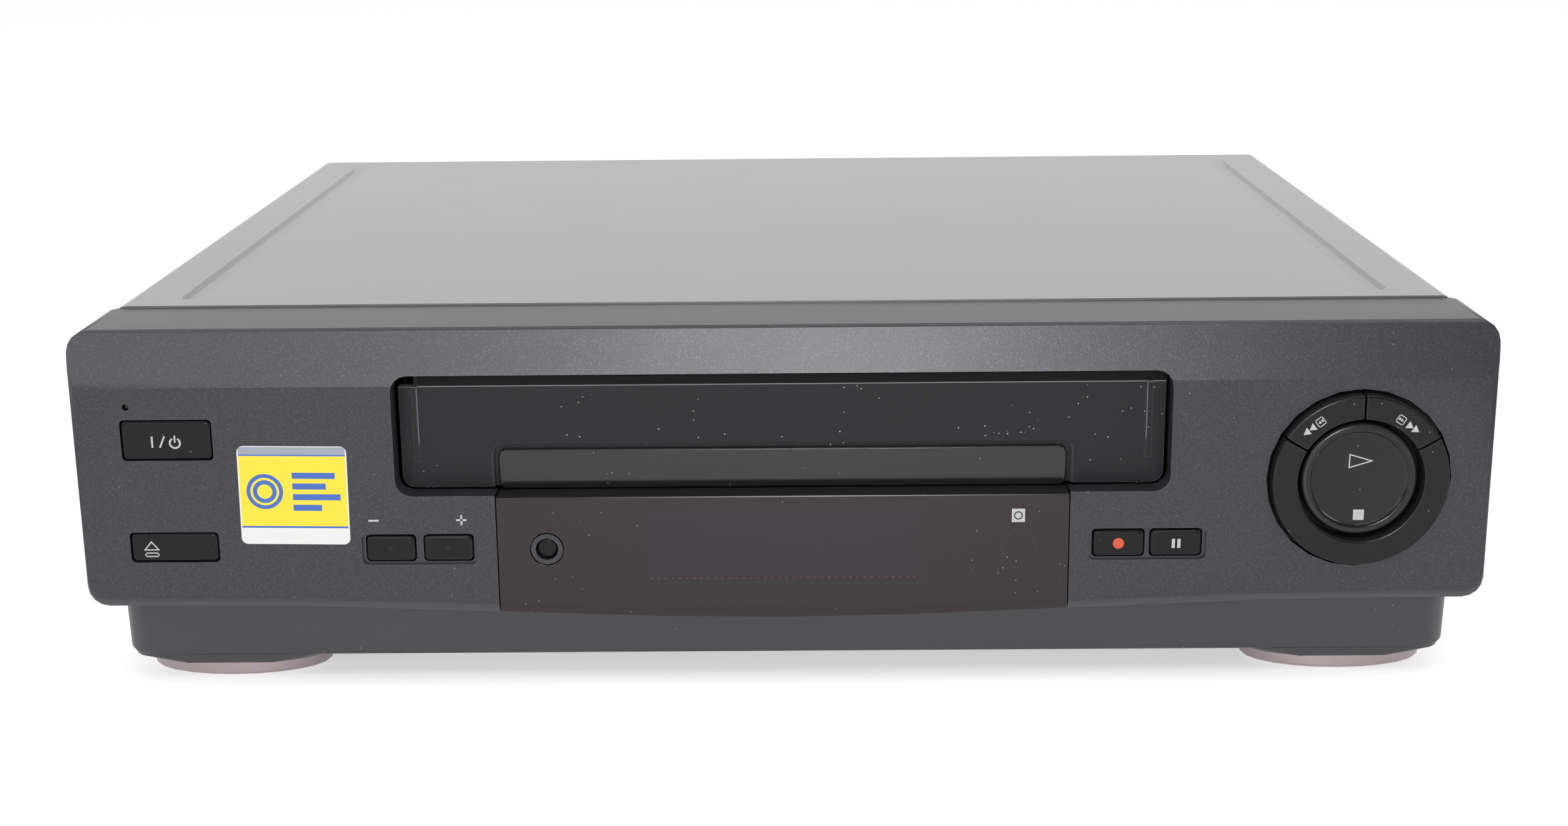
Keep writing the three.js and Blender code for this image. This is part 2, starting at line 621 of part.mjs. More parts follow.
// A torsion spring's middle line: a leg, the curls round z, and a tail.
function coilPath(spring) {
  const { coil, length, turns, from, start } = spring;
  const at = (angle, level) => (
    new Vector3(coil * Math.cos(angle * degree), coil * Math.sin(angle * degree), level)
  );
  const tangent = (angle) => new Vector3(-Math.sin(angle * degree), Math.cos(angle * degree), 0);
  const count = turns * springTube.stepsPerTurn;
  const points = [at(start, from).addScaledVector(tangent(start), -spring.leg)];
  for (let i = 0; i <= count; i += 1) {
    points.push(at(start + fullTurn * turns * i / count, from + length * i / count));
  }
  points.push(at(start + fullTurn * turns, from + length).addScaledVector(tangent(start), spring.tail));
  return points;
}

// The least room between a spring's curls, measured on points along its middle line
function leastGap(path, spring) {
  const points = path.getSpacedPoints(springTube.samples);
  const reach = path.getLength() / springTube.samples;
  const apart = Math.ceil(Math.PI * spring.coil / reach);
  let least = Infinity;
  for (let i = 0; i < points.length; i += 1) {
    for (let j = i + apart; j < points.length; j += 1) {
      least = Math.min(least, points[i].distanceTo(points[j]));
    }
  }
  return least - 2 * spring.wire;
}

function wireSolid(name, points, spring) {
  const path = new THREE.CatmullRomCurve3(points);
  console.log(`${name}: least gap to itself ${leastGap(path, spring).toFixed(2)} mm`);
  const geometry = new THREE.ExtrudeGeometry(circle(0, 0, spring.wire), {
    steps: (spring.turns + 1) * springTube.stepsPerTurn, extrudePath: path,
    curveSegments: springTube.wireSides / 2
  });
  return solidOf(geometry);
}

// Front housing

// The face's outline: upright sides, and a lower edge that dips towards the middle.
function panelOutline(inset, lowInset = inset) {
  const half = body.width / 2 - inset;
  const low = panel.bottom + lowInset;
  const top = panelTop - inset;
  const lowRound = Math.max(panel.bottomCorner - inset, panel.leastCorner);
  const topRound = Math.max(panel.topCorner - inset, panel.leastCorner);
  const shape = new THREE.Shape();
  for (let i = 0; i <= panel.sagSteps; i += 1) {
    const x = sagHalf * (2 * i / panel.sagSteps - 1);
    const dip = panel.sag * (1 + Math.cos(Math.PI * x / sagHalf)) / 2;
    if (i === 0) shape.moveTo(x, low - dip);
    else shape.lineTo(x, low - dip);
  }
  shape.absarc(half - lowRound, low + lowRound, lowRound, -Math.PI / 2, 0, false);
  shape.absarc(half - topRound, top - topRound, topRound, 0, Math.PI / 2, false);
  shape.absarc(-half + topRound, top - topRound, topRound, Math.PI / 2, Math.PI, false);
  shape.absarc(-half + lowRound, low + lowRound, lowRound, Math.PI, 1.5 * Math.PI, false);
  return shape;
}

// The side view, cut by the upper band that leans back above the crease.
function panelProfile(inset, back) {
  const top = panelTop - inset;
  const lean = panel.lean + inset;
  return polygon([
    [inset, 0], [back, 0], [back, top], [lean + panel.topRound, top],
    [lean, top - panel.topRound / 2], [inset, panelCrease]
  ]);
}

// The housing's outer form, with its rounded front edges and its lower lip.
function panelBlock() {
  const rows = [
    { level: 0, inset: panel.edgeInset, low: panel.lipRise },
    {
      level: edgeShares.quarter * panel.edgeDepth, inset: edgeShares.third * panel.edgeInset,
      low: panel.lipRise / 2
    },
    {
      level: panel.lipDepth, inset: edgeShares.early * panel.edgeInset,
      low: edgeShares.early * panel.edgeInset
    },
    { level: panel.edgeDepth, inset: 0, low: 0 },
    { level: panel.depth, inset: 0, low: 0 }
  ];
  const outlines = rows.map(({ level, inset, low }) => (
    { level, points: outlinePoints(panelOutline(inset, low)) }
  ));
  return loft('y', outlines).intersect(prism('x', panelProfile(0, panel.depth), -body.width, body.width));
}

function holeShape(hole, grow = 0) {
  return roundRect(hole.x0 - grow, hole.z0 - grow, hole.x1 + grow, hole.z1 + grow, button.corner + grow);
}

function recessShape([left, right]) {
  const middle = inRow(rowShares.recess);
  return roundRect(
    left.x0 - recess.border, middle - recess.height / 2, right.x1 + recess.border, middle + recess.height / 2,
    recess.corner
  );
}

// The middles of the dial's two keys, as angles and as places of their stems
const keyMiddles = {
  forward: (keyAngles.low + keyAngles.middle) / 2,
  rewind: (keyAngles.middle + keyAngles.high) / 2
};

function keyStem(angle) {
  return {
    x: dial.x + dial.keyStemAt * Math.cos(angle * degree),
    z: dial.z + dial.keyStemAt * Math.sin(angle * degree)
  };
}

const rockerStems = bothSides.map((side) => ({ x: dial.x, z: dial.z + side * dial.rockerStemAt }));
const dialStems = [keyStem(keyMiddles.forward), keyStem(keyMiddles.rewind), ...rockerStems];
const stemEnd = frontBoard.front - frontBoard.switchBody - frontBoard.plunger - fit.seat - button.travel;
const windowFloorFront = windowPane.thick + fit.seat;
const windowFloorBack = windowFloorFront + windowFloor.thick;

// What is added to the bare shell of the front housing
function panelFittings() {
  const far = panel.depth + fit.overrun;
  const rim = prism('y', panelOutline(panel.wall / 2), panel.depth - panel.rimDepth, panel.depth)
    .subtract(prism('y', panelOutline(panel.rimInset), 0, far));
  const grow = opening.tunnelWall;
  const tunnelShape = roundRect(
    -opening.half - grow, opening.low - grow, opening.half + grow, opening.high + grow, opening.corner + grow
  );
  const tunnel = prism('y', tunnelShape, panel.wall - panel.bite, opening.tunnelDepth);
  const floor = prism('y', panelOutline(panel.wall / 2), windowFloorFront, windowFloorBack)
    .intersect(box(-windowFloor.half, windowFloor.half, 0, far, 0, windowFloor.top));
  const cup = rod(
    'y', dial.x, dial.z, dial.recess + dial.cupWall, panel.wall / 2, dial.cupFloor + dial.cupWall, sides.large
  );
  const bosses = panelBosses.map(({ x, z }) => (
    rod('y', x, z, panel.bossRadius, panel.wall / 2, frontBoard.front - fit.seat, sides.tiny)
  ));
  const ears = bothSides.map((side) => {
    const [x0, x1] = span(side, earInner, earInner + hingeEar.thick);
    const low = opening.high - hingeEar.topGap;
    return box(x0, x1, hingeEar.front, hingeEar.back, low, panelTop - panel.wall / 2);
  });
  const bezel = rod('y', setup.x, setup.z, setup.bezelOuter, setup.bezelFront, windowFloorBack, sides.medium);
  return [rim, tunnel, floor, cup, bezel, ...bosses, ...ears];
}

// What is taken out of the front housing
function panelCuts() {
  const before = -fit.overrun;
  const windowGap = windowPane.half + fit.seat;
  const deep = dial.cupFloor + dial.cupWall + fit.overrun;
  const through = panel.wall + fit.overrun;
  const doorway = roundRect(-opening.half, opening.low, opening.half, opening.high, opening.corner);
  const hinges = bothSides.map((side) => {
    const [x0, x1] = span(side, earInner - panel.bite, earInner + hingeEar.thick + panel.bite);
    return rod('x', door.hingeDepth, door.hingeHeight, door.pin + fit.run, x0, x1, sides.small);
  });
  return [
    prism('y', doorway, before, opening.tunnelDepth + fit.overrun),
    box(-windowGap, windowGap, before, windowFloorFront, 0, windowPane.top + fit.seat)
      .subtract(rod('y', setup.x, setup.z, setup.bezelOuter, 0, windowFloorBack, sides.medium)),
    box(
      -windowGap, windowGap, before, opening.tunnelDepth + fit.overrun,
      windowFloor.top + fit.seat, opening.low + fit.seat
    ),
    box(
      -display.viewHalf, display.viewHalf, windowFloorFront - panel.bite, windowFloorBack + panel.bite,
      display.viewLow, windowFloor.top + fit.slide
    ),
    rod('y', setup.x, setup.z, setup.radius + fit.slide, before, deep, sides.small),
    rod('y', infrared.x, infrared.z, infrared.radius, 0, windowFloorBack + panel.bite, sides.medium),
    rod('y', dial.x, dial.z, dial.recess, before, dial.cupFloor, sides.large),
    rod('y', lamp.x, lamp.z, lamp.radius, before, through, sides.tiny),
    ...hinges,
    ...dialStems.map(({ x, z }) => rod('y', x, z, dial.stemHole, 0, deep, sides.tiny)),
    ...[powerHole, ejectHole].map((hole) => prism('y', holeShape(hole), before, through)),
    ...[programHoles, recordHoles].map((holes) => prism('y', recessShape(holes), before, recess.depth)),
    ...[...programHoles, ...recordHoles].map((hole) => prism('y', holeShape(hole), before, through))
  ];
}

function frontPanel() {
  const far = panel.depth + fit.overrun;
  const cavity = prism('y', panelOutline(panel.wall), panel.wall, far)
    .intersect(prism('x', panelProfile(panel.wall, far), -body.width, body.width));
  return joined([panelBlock().subtract(cavity), ...panelFittings()]).subtract(joined(panelCuts()));
}

function displayWindow() {
  const plate = panelBlock()
    .intersect(box(-windowPane.half, windowPane.half, -fit.overrun, windowPane.thick, 0, windowPane.top));
  const flange = box(
    -windowPane.half, windowPane.half, windowPane.thick / 2, windowPane.flangeDepth,
    windowPane.top - windowPane.flangeThick, windowPane.top
  );
  const behind = windowPane.thick + fit.overrun;
  const hole = rod('y', setup.x, setup.z, setup.ring, -fit.overrun, behind, sides.medium);
  return plate.add(flange).subtract(hole);
}

// Cassette door

function doorLip() {
  const { front, thick, flatTop, lipRise, barrel, hingeDepth, hingeHeight } = door;
  const profile = new THREE.Shape();
  profile.moveTo(front, flatTop - lipRise);
  profile.lineTo(front + thick, flatTop - lipRise);
  profile.lineTo(front + thick, flatTop);
  profile.lineTo(hingeDepth + barrel / 2, hingeHeight - barrel / 2);
  profile.lineTo(hingeDepth, hingeHeight);
  profile.lineTo(hingeDepth - barrel, hingeHeight);
  profile.quadraticCurveTo(front, flatTop + lipRise, front, flatTop);
  const from = -door.half + door.springRoom;
  return prism('x', profile, from, door.half, sides.corner)
    .add(rod('x', hingeDepth, hingeHeight, barrel, from, door.half, sides.medium));
}

function doorRib(x0, side) {
  const x1 = x0 + side * door.ribWidth;
  const from = Math.min(x0, x1);
  return box(
    from, from + door.ribWidth, door.front - door.ribProud, door.front + panel.bite, door.ribLow, door.flatTop
  );
}

function cassetteDoor() {
  const { front, thick, low, half, flatTop, corner } = door;
  const plate = box(-half, half, front, front + thick, low, flatTop);
  const pin = rod('x', door.hingeDepth, door.hingeHeight, door.pin, -door.pinEnd, door.pinEnd, sides.small);
  const outline = prism(
    'y', roundRect(-body.width / 2, low, body.width / 2, body.height + corner, fit.film), 0, panel.depth
  ).intersect(joined([
    prism('y', roundRect(-half, low, half, body.height + corner, corner), 0, panel.depth),
    box(-door.pinEnd, door.pinEnd, 0, panel.depth, flatTop, body.height)
  ]));
  const pocket = prism(
    'y', roundRect(-door.notchHalf, 0, door.notchHalf, door.notchTop, door.notchCorner),
    front - panel.bite, front + door.notchDepth
  );
  const ribs = bothSides.map((side) => doorRib(side * (half - door.ribFromEdge), -side));
  return joined([plate, doorLip(), pin, ...ribs]).intersect(outline).subtract(pocket);
}

function doorInsert() {
  const back = door.front + door.notchDepth - fit.film;
  const front = back - insert.thick;
  const row = (level, inset) => ({
    level,
    points: outlinePoints(roundRect(
      -windowPane.half + inset, opening.low - insert.lowGap + inset, windowPane.half - inset,
      door.notchTop - insert.topGap - inset, insert.corner - inset
    ))
  });
  return loft('y', [row(front, insert.edge), row(front + insert.edge, 0), row(back, 0)]);
}

function doorSpringSolid() {
  const along = (point) => new Vector3(point.z, door.hingeDepth + point.x, door.hingeHeight + point.y);
  return wireSolid('door_spring', coilPath(doorSpring).map(along), doorSpring);
}

// Buttons

function pushButton(hole, front, stemAt) {
  const shape = (inset) => roundRect(
    hole.x0 + inset, hole.z0 + inset, hole.x1 - inset, hole.z1 - inset, button.corner
  );
  const cap = loft('y', [
    { level: front, points: outlinePoints(shape(button.gap + button.edge)) },
    { level: front + button.edge, points: outlinePoints(shape(button.gap)) },
    { level: panel.wall + 2 * fit.run, points: outlinePoints(shape(button.gap)) }
  ]);
  const flangeFront = panel.wall + fit.run;
  const flange = prism(
    'y', holeShape(hole, button.flange), flangeFront, flangeFront + button.flangeThick, sides.slot
  );
  const x = (hole.x0 + hole.x1) / 2;
  const stem = rod('y', stemAt.x ?? x, stemAt.z, button.stem, flangeFront, stemEnd, sides.tiny);
  return joined([cap, flange, stem]);
}

function middleOf(hole) {
  return { x: (hole.x0 + hole.x1) / 2, z: (hole.z0 + hole.z1) / 2 };
}

function nibbedButton(hole) {
  const middle = middleOf(hole);
  const nib = rod(
    'y', middle.x, middle.z, button.nib, -button.nibProud, button.edge + panel.bite, sides.tiny
  );
  return pushButton(hole, 0, middle).add(nib);
}

function setupButton() {
  const flangeFront = windowFloorBack + fit.run;
  return joined([
    turnedBack([
      [0, setup.front], [setup.radius - button.edge, setup.front], [setup.radius, setup.front + button.edge],
      [setup.radius, flangeFront], [setup.flange, flangeFront],
      [setup.flange, flangeFront + button.flangeThick], [0, flangeFront + button.flangeThick]
    ], setup.x, setup.z),
    rod('y', setup.x, setup.z, button.stem, flangeFront, stemEnd, sides.tiny)
  ]);
}

// Transport dial

function ringPiece(low, high, back, arc) {
  const { x, z, ringInner, ringOuter, edge, proud } = dial;
  const halfGap = keyAngles.gap / dial.ringOuter / degree / 2;
  const shape = (inset) => sector(x, z, ringInner + inset, ringOuter - inset, low + halfGap, high - halfGap);
  return loft('y', [
    { level: -proud, points: outlinePoints(shape(edge), arc) },
    { level: -proud + edge / 2, points: outlinePoints(shape(edgeShares.quarter * edge), arc) },
    { level: -proud + edge, points: outlinePoints(shape(0), arc) },
    { level: back, points: outlinePoints(shape(0), arc) }
  ]);
}

function transportRing() {
  return ringPiece(keyAngles.high, fullTurn + keyAngles.low, dial.cupFloor - fit.film, sides.ring);
}

function dialKey(angle, low, high) {
  const back = dial.cupFloor - button.travel - fit.seat;
  const stem = keyStem(angle);
  const post = rod('y', stem.x, stem.z, dial.stemRadius, 0, stemEnd, sides.tiny);
  return ringPiece(low, high, back, sides.key).add(post);
}

function playStopRocker() {
  const { x, z, disc, discProud, rimWidth, dish, discBack, edge } = dial;
  const dished = turnedBack([
    [0, -discProud + dish], [disc - rimWidth - edge, -discProud + dish / 2], [disc - rimWidth, -discProud],
    [disc - edge / 2, -discProud], [disc, -discProud + edge / 2], [disc, discBack], [0, discBack]
  ], x, z, sides.ring);
  const ridge = box(
    x - dial.ridgeHalf, x + dial.ridgeHalf, discBack - panel.bite, dial.cupFloor - fit.film,
    z - dial.ridge, z + dial.ridge
  );
  const stems = rockerStems.map((stem) => (
    rod('y', stem.x, stem.z, dial.stemRadius, discBack - panel.bite, stemEnd, sides.tiny)
  ));
  const face = -discProud + dish / 2 - dial.markProud;
  const playLevel = z + dial.playRise;
  const stopLevel = z - dial.stopDrop;
  const play = polygon([
    [x - dial.playHalf, playLevel - dial.playTall], [x + dial.playHalf, playLevel],
    [x - dial.playHalf, playLevel + dial.playTall]
  ]);
  const marks = [
    prism('y', play, face, discBack - panel.bite),
    box(
      x - dial.stopHalf, x + dial.stopHalf, face, discBack - panel.bite,
      stopLevel - dial.stopHalf, stopLevel + dial.stopHalf
    )
  ];
  return joined([dished, ridge, ...stems, ...marks]);
}

// Label, display tube, infrared receiver and front board

function frontSticker() {
  const { width, height, corner, thick } = sticker;
  const outline = roundRect(-width / 2, -height / 2, width / 2, height / 2, corner);
  return prism('y', outline, -thick - fit.film, -fit.film);
}

function displayTube() {
  const { half, low, high, front, thick, corner, tip, edge } = display;
  const shape = (inset) => roundRect(-half + inset, low + inset, half - inset, high - inset, corner);
  const glass = loft('y', [
    { level: front, points: outlinePoints(shape(edge)) },
    { level: front + edge, points: outlinePoints(shape(0)) },
    { level: front + thick, points: outlinePoints(shape(0)) }
  ]);
  const neck = rod('x', front + thick / 2, (low + high) / 2, tip, half - panel.bite, half + tip, sides.tiny);
  return glass.add(neck);
}

function infraredReceiver() {
  const { x, z, boxHalf, front, back, dome, domeShare, tip } = infrared;
  const eye = turnedBack([
    [0, tip], [dome / 2, tip + domeShare * (front - tip)], [dome, (tip + front) / 2],
    [dome, front + panel.bite], [0, front + panel.bite]
  ], x, z);
  return box(x - boxHalf, x + boxHalf, front, back, z - boxHalf, z + boxHalf).add(eye);
}

function frontBoardSolid() {
  const { front, thick, switchHalf, switchBody, plunger } = frontBoard;
  const half = caseHalf - frontBoard.sideGap;
  const low = panel.bottom + frontBoard.lowGap;
  const high = body.height - frontBoard.topGap;
  const centreHigh = opening.low - frontBoard.centreGap;
  const wingFrom = opening.half + frontBoard.wingGap;
  const shape = polygon([
    [-half, low], [half, low], [half, high], [wingFrom, high], [wingFrom, centreHigh],
    [-wingFrom, centreHigh], [-wingFrom, high], [-half, high]
  ]);
  const places = [
    ...[powerHole, ejectHole, ...programHoles, ...recordHoles].map(middleOf),
    { x: setup.x, z: setup.z }, ...dialStems
  ];
  const switches = places.flatMap(({ x, z }) => [
    box(
      x - switchHalf, x + switchHalf, front - switchBody, front + frontBoard.bite,
      z - switchHalf, z + switchHalf
    ),
    rod('y', x, z, frontBoard.plungerRadius, front - switchBody - plunger, front, sides.tiny)
  ]);
  const light = rod('y', lamp.x, lamp.z, lamp.lens, lamp.front, front + frontBoard.bite, sides.tiny);
  return joined([prism('y', shape, front, front + thick), light, ...switches]);
}

// Outer case

function coverOutline(inset) {
  const half = cover.half - inset;
  const top = body.height - inset;
  return roundRect(-half, -body.height, half, top, cover.fold - inset);
}

function topCover() {
  const { half, sheet, low, grooveX, grooveWidth, grooveDepth, grooveFrom, grooveTo, grooveRise } = cover;
  const front = panel.depth + fit.seat;
  const far = body.depth + fit.overrun;
  const above = box(-half, half, front, body.depth, low, body.height);
  const shell = prism('y', coverOutline(0), front, body.depth).intersect(above);
  const ribs = joined(bothSides.map((side) => {
    const x = side * grooveX;
    const reach = grooveWidth / 2 + sheet;
    return box(
      x - reach, x + reach, grooveFrom - sheet, grooveTo + sheet,
      body.height - grooveDepth - sheet, body.height
    );
  }));
  const inside = prism('y', coverOutline(sheet), 0, far).subtract(ribs);
  const grooves = bothSides.map((side) => {
    const x = side * grooveX;
    const wide = grooveWidth / 2;
    const narrow = wide - grooveRise;
    const row = (level, reach, end) => ({
      level,
      points: outlinePoints(roundRect(
        x - reach, grooveFrom + end, x + reach, grooveTo - end, reach - fit.film
      ))
    });
    return loft('z', [
      row(body.height - grooveDepth, narrow, grooveRise), row(body.height, wide, 0),
      row(body.height + panel.bite, wide, 0)
    ]);
  });
  const slots = Array.from({ length: cover.slotCount }, (_, i) => {
    const from = cover.slotFrom + i * cover.slotPitch;
    const to = from + cover.slotWidth;
    const outline = roundRect(from, cover.slotLow, to, cover.slotHigh, cover.slotWidth / 2 - fit.film);
    return prism('x', outline, -body.width, body.width, sides.slot);
  });
  return shell.subtract(joined([inside, ...grooves, ...slots]));
}

function baseOutline(inset) {
  const half = base.half - inset;
  return roundRect(-half, base.front + inset, half, base.back - inset, base.corner - inset);
}

function footBosses() {
  const { dip, halfX, halfY, waistX, waistY, middleShare, easedShare } = footBoss;
  const low = base.low - dip;
  const rows = [[0, 0], [dip / 2, middleShare], [dip, easedShare], [dip + base.floor, 1]];
  return bothSides.map((side) => loft('z', rows.map(([rise, share]) => ({
    level: low + rise,
    points: outlinePoints(ellipse(
      side * footX, foot.y, waistX + share * (halfX - waistX), waistY + share * (halfY - waistY)
    ), sides.medium)
  }))));
}

function chassisBase() {
  const { low, wall, floor, high, draft, roundInset, roundRise, bite } = base;
  const row = (level, inset) => ({ level, points: outlinePoints(baseOutline(inset)) });
  const outside = loft('z', [
    row(low, draft + roundInset),
    row(low + edgeShares.third * roundRise, draft + edgeShares.third * roundInset),
    row(low + roundRise, draft), row(high, 0)
  ]);
  const inside = loft('z', [row(low + floor, draft + wall), row(high, wall), row(high + fit.overrun, wall)]);
  const feet = joined(footBosses()).intersect(prism('z', baseOutline(draft + roundInset), 0, low + floor));
  const panelRoom = prism('y', panelOutline(-fit.seat), -fit.overrun, panel.depth + fit.seat);
  const { half, back, rearHigh, corner } = base;
  const behind = back + fit.overrun;
  const backRoom = box(-half + corner, half - corner, back - corner, behind, rearHigh, body.height);
  const floorTop = low + floor - bite;
  const posts = [
    ...boardPosts.map(({ x, y }) => rod('z', x, y, base.post, floorTop, board.low - fit.seat, sides.tiny)),
    ...bothSides.flatMap((side) => deckPostRows.map((y) => (
      rod('z', side * (deck.half - deck.postInset), y, base.post, floorTop, deck.low - fit.seat, sides.tiny)
    ))),
    ...stator.postAngles.map((angle) => {
      const out = new Vector2(stator.postAt, 0).rotateAround(new Vector2(), angle * degree);
      return rod(
        'z', capstan.x + out.x, capstan.y + out.y, stator.post, floorTop, stator.low - fit.seat, sides.tiny
      );
    })
  ];
  return joined([outside, feet]).subtract(joined([inside, panelRoom, backRoom])).add(joined(posts));
}

function frontFoot() {
  const { halfX, halfY, chamfer } = foot;
  const top = base.low - footBoss.dip - fit.seat;
  const row = (level, inset) => ({
    level, points: outlinePoints(ellipse(0, 0, halfX - inset, halfY - inset), sides.large)
  });
  return loft('z', [row(0, chamfer), row(chamfer, 0), row(top - chamfer / 2, 0), row(top, chamfer / 2)]);
}

function rearFootSolid() {
  const { radius, chamfer, dish, rim } = rearFoot;
  const top = base.low - fit.seat;
  return turnedUp([
    [0, dish], [radius - chamfer - rim, dish], [radius - chamfer - rim + dish, 0], [radius - chamfer, 0],
    [radius, chamfer], [radius, top], [0, top]
  ], 0, 0, sides.medium);
}

// Back of the recorder

function scartOutline(z, grow) {
  const half = scart.width / 2 + grow;
  const [z0, z1] = [z - grow, z + scart.height + grow];
  return polygon([
    [scart.x - half + scart.slant, z0], [scart.x + half, z0], [scart.x + half, z1],
    [scart.x - half, z1], [scart.x - half, z0 + scart.slant]
  ]);
}

const scartHeights = [scart.low, scart.low + scart.pitch];
const plugPlaces = bothSides.map((side) => ({ x: tunerX + side * tuner.plugPitch / 2, z: tuner.plugHeight }));

function rearPanel() {
  const front = rearFront;
  const { corner } = rear;
  const inner = base.half - base.corner - fit.seat;
  const wide = cover.half - cover.sheet - fit.seat;
  const bottom = base.low + base.floor + fit.seat;
  const top = body.height - cover.sheet - fit.seat;
  const sheet = joined([
    prism('y', roundRect(-wide, base.high + fit.seat, wide, top, corner), front, rearBack),
    box(-inner, inner, front, rearBack, bottom, base.high + corner)
  ]);
  const { x, z, width, height } = mains;
  const grow = fit.seat;
  const before = front - panel.bite;
  const behind = rearBack + panel.bite;
  const holes = [
    ...scartHeights.map((low) => prism('y', scartOutline(low, grow), before, behind)),
    ...plugPlaces.map((place) => rod('y', place.x, place.z, tuner.collar + grow, before, behind)),
    prism('y', roundRect(
      x - width / 2 - grow, z - height / 2 - grow, x + width / 2 + grow, z + height / 2 + grow, mains.corner
    ), before, behind)
  ];
  return sheet.subtract(joined(holes));
}

function scartSockets() {
  const back = rearBack + scart.proud;
  const flangeBack = rearFront - fit.seat;
  const half = scart.bodyWidth / 2;
  const high = scart.low + scart.pitch + scart.height;
  const block = box(
    scart.x - half, scart.x + half, flangeBack - scart.bodyDepth, flangeBack,
    scart.low - scart.border, high + scart.border
  );
  const shells = scartHeights.map((low) => prism('y', scartOutline(low, 0), flangeBack - panel.bite, back));
  const wells = scartHeights.map((low) => (
    prism('y', scartOutline(low, -scart.shellWall), back - scart.wellDepth, back + panel.bite)
  ));
  const tongueHalf = scart.width / 2 - scart.shellWall - scart.tongueInset;
  const tongues = scartHeights.map((low) => {
    const middle = low + scart.height / 2;
    return box(
      scart.x - tongueHalf, scart.x + tongueHalf, back - scart.wellDepth - panel.bite, back - panel.bite,
      middle - scart.tongueHeight / 2, middle + scart.tongueHeight / 2
    );
  });
  return joined([block, ...shells]).subtract(joined(wells)).add(joined(tongues));
}

function tunerModule() {
  const { height, lidRise, lidInset, collar, collarProud, plugRadius, plugBore, plugPin, plugProud } = tuner;
  const low = board.low + board.thick + fit.seat;
  const back = rearFront - fit.seat;
  const can = box(tunerLeft, tunerRight, tunerFront, back, low, low + height);
  const lid = box(
    tunerLeft + lidInset, tunerRight - lidInset, tunerFront + lidInset, back - lidInset,
    low + height - panel.bite, low + height + lidRise
  );
  const tip = rearBack + plugProud;
  const plugs = plugPlaces.flatMap((place) => [
    rod('y', place.x, place.z, collar, back - panel.bite, rearBack + collarProud),
    rod('y', place.x, place.z, plugRadius, back - panel.bite, tip)
  ]);
  const bores = plugPlaces.map((place) => (
    rod('y', place.x, place.z, plugBore, rearBack + collarProud / 2, tip + panel.bite)
  ));
  const pins = plugPlaces.map((place) => (
    rod('y', place.x, place.z, plugPin, back, tip - panel.bite / 2, sides.tiny)
  ));
  return joined([can, lid, ...plugs]).subtract(joined(bores)).add(joined(pins));
}

function mainsInlet() {
  const { x, z, width, height, proud, depth, wellWidth, wellHeight, wellDepth, corner, flange } = mains;
  const back = rearBack + proud;
  const face = (w, h, r) => roundRect(x - w / 2, z - h / 2, x + w / 2, z + h / 2, r);
  const block = prism('y', face(width, height, corner), back - depth, back);
  const rim = prism(
    'y', face(width + 2 * flange, height + 2 * flange, corner),
    rearFront - fit.seat - mains.flangeThick, rearFront - fit.seat
  );
  const well = prism(
    'y', face(wellWidth, wellHeight, wellHeight / 2 - fit.film), back - wellDepth, back + panel.bite
  );
  const pins = bothSides.map((side) => rod(
    'y', x + side * mains.pinPitch / 2, z, mains.pin, back - wellDepth - panel.bite,
    back - wellDepth + mains.pinLength, sides.tiny
  ));
  return joined([block, rim]).subtract(well).add(joined(pins));
}

// Circuit boards

const boardTop = board.low + board.thick;

function can({ x, y, size }) {
  const { radius, height } = canSizes[size];
  return rod('z', x, y, radius, boardTop - component.bite, boardTop + height, sides.small);
}

function chip({ x, y, width, depth }) {
  return box(
    x - width / 2, x + width / 2, y - depth / 2, y + depth / 2,
    boardTop - component.bite, boardTop + component.chipHeight
  );
}

function mainBoard() {
  const { inner, half, front, back, strip, stripEnd, low } = board;
  return joined([
    box(inner, half, front, back, low, boardTop),
    box(stripEnd, inner + panel.bite, strip, back, low, boardTop),
    ...chips.map(chip),
    ...rightCapacitors.map(can),
    ...stripCapacitors.map(can)
  ]);
}

function powerBoard() {
  const { inner, half, front, low, powerBack } = board;
  const { x, y, length, height, thick, finDepth, fins } = heatSink;
  const fromX = x - length / 2;
  const sink = [
    box(fromX, fromX + length, y - thick / 2, y + thick / 2, boardTop - component.bite, boardTop + height)
  ];
  for (let i = 0; i < fins; i += 1) {
    const at = fromX + i * (length - thick) / (fins - 1);
    sink.push(box(at, at + thick, y, y + finDepth, boardTop + finDepth, boardTop + height));
  }
  return joined([
    box(-half, -inner, front, powerBack, low, boardTop),
    ...leftCapacitors.map(can),
    ...sink
  ]);
}

function transformerSolid() {
  const { x, y, width, depth, height, coreWidth, bobbinWidth, footWidth, tabDepth } = transformer;
  const low = boardTop + fit.seat;
  const around = (w, d, from, to) => box(x - w / 2, x + w / 2, y - d / 2, y + d / 2, from, to);
  const inset = transformer.bobbinInset;
  return joined([
    around(width, coreWidth, low, low + height),
    around(bobbinWidth, depth, low + inset, low + height - inset),
    around(footWidth, tabDepth, low, low + transformer.foot)
  ]);
}

// Tape deck

const deckTop = deck.low + deck.plate;

function trackCentre(side) {
  return { x: drum.x - side * guide.trackX, y: drum.y + guide.trackBehind };
}

// A guide's angles on its own side: the left one is mirrored.
function trackAngle(side, share) {
  const angle = guide.startAngle - share * guide.sweep;
  return side < 0 ? angle : fullTurn + halfTurn - angle;
}

function onTrack(side, share) {
  const centre = trackCentre(side);
  const angle = trackAngle(side, share) * degree;
  const reach = guide.trackRadius;
  return { x: centre.x + reach * Math.cos(angle), y: centre.y + reach * Math.sin(angle), angle };
}

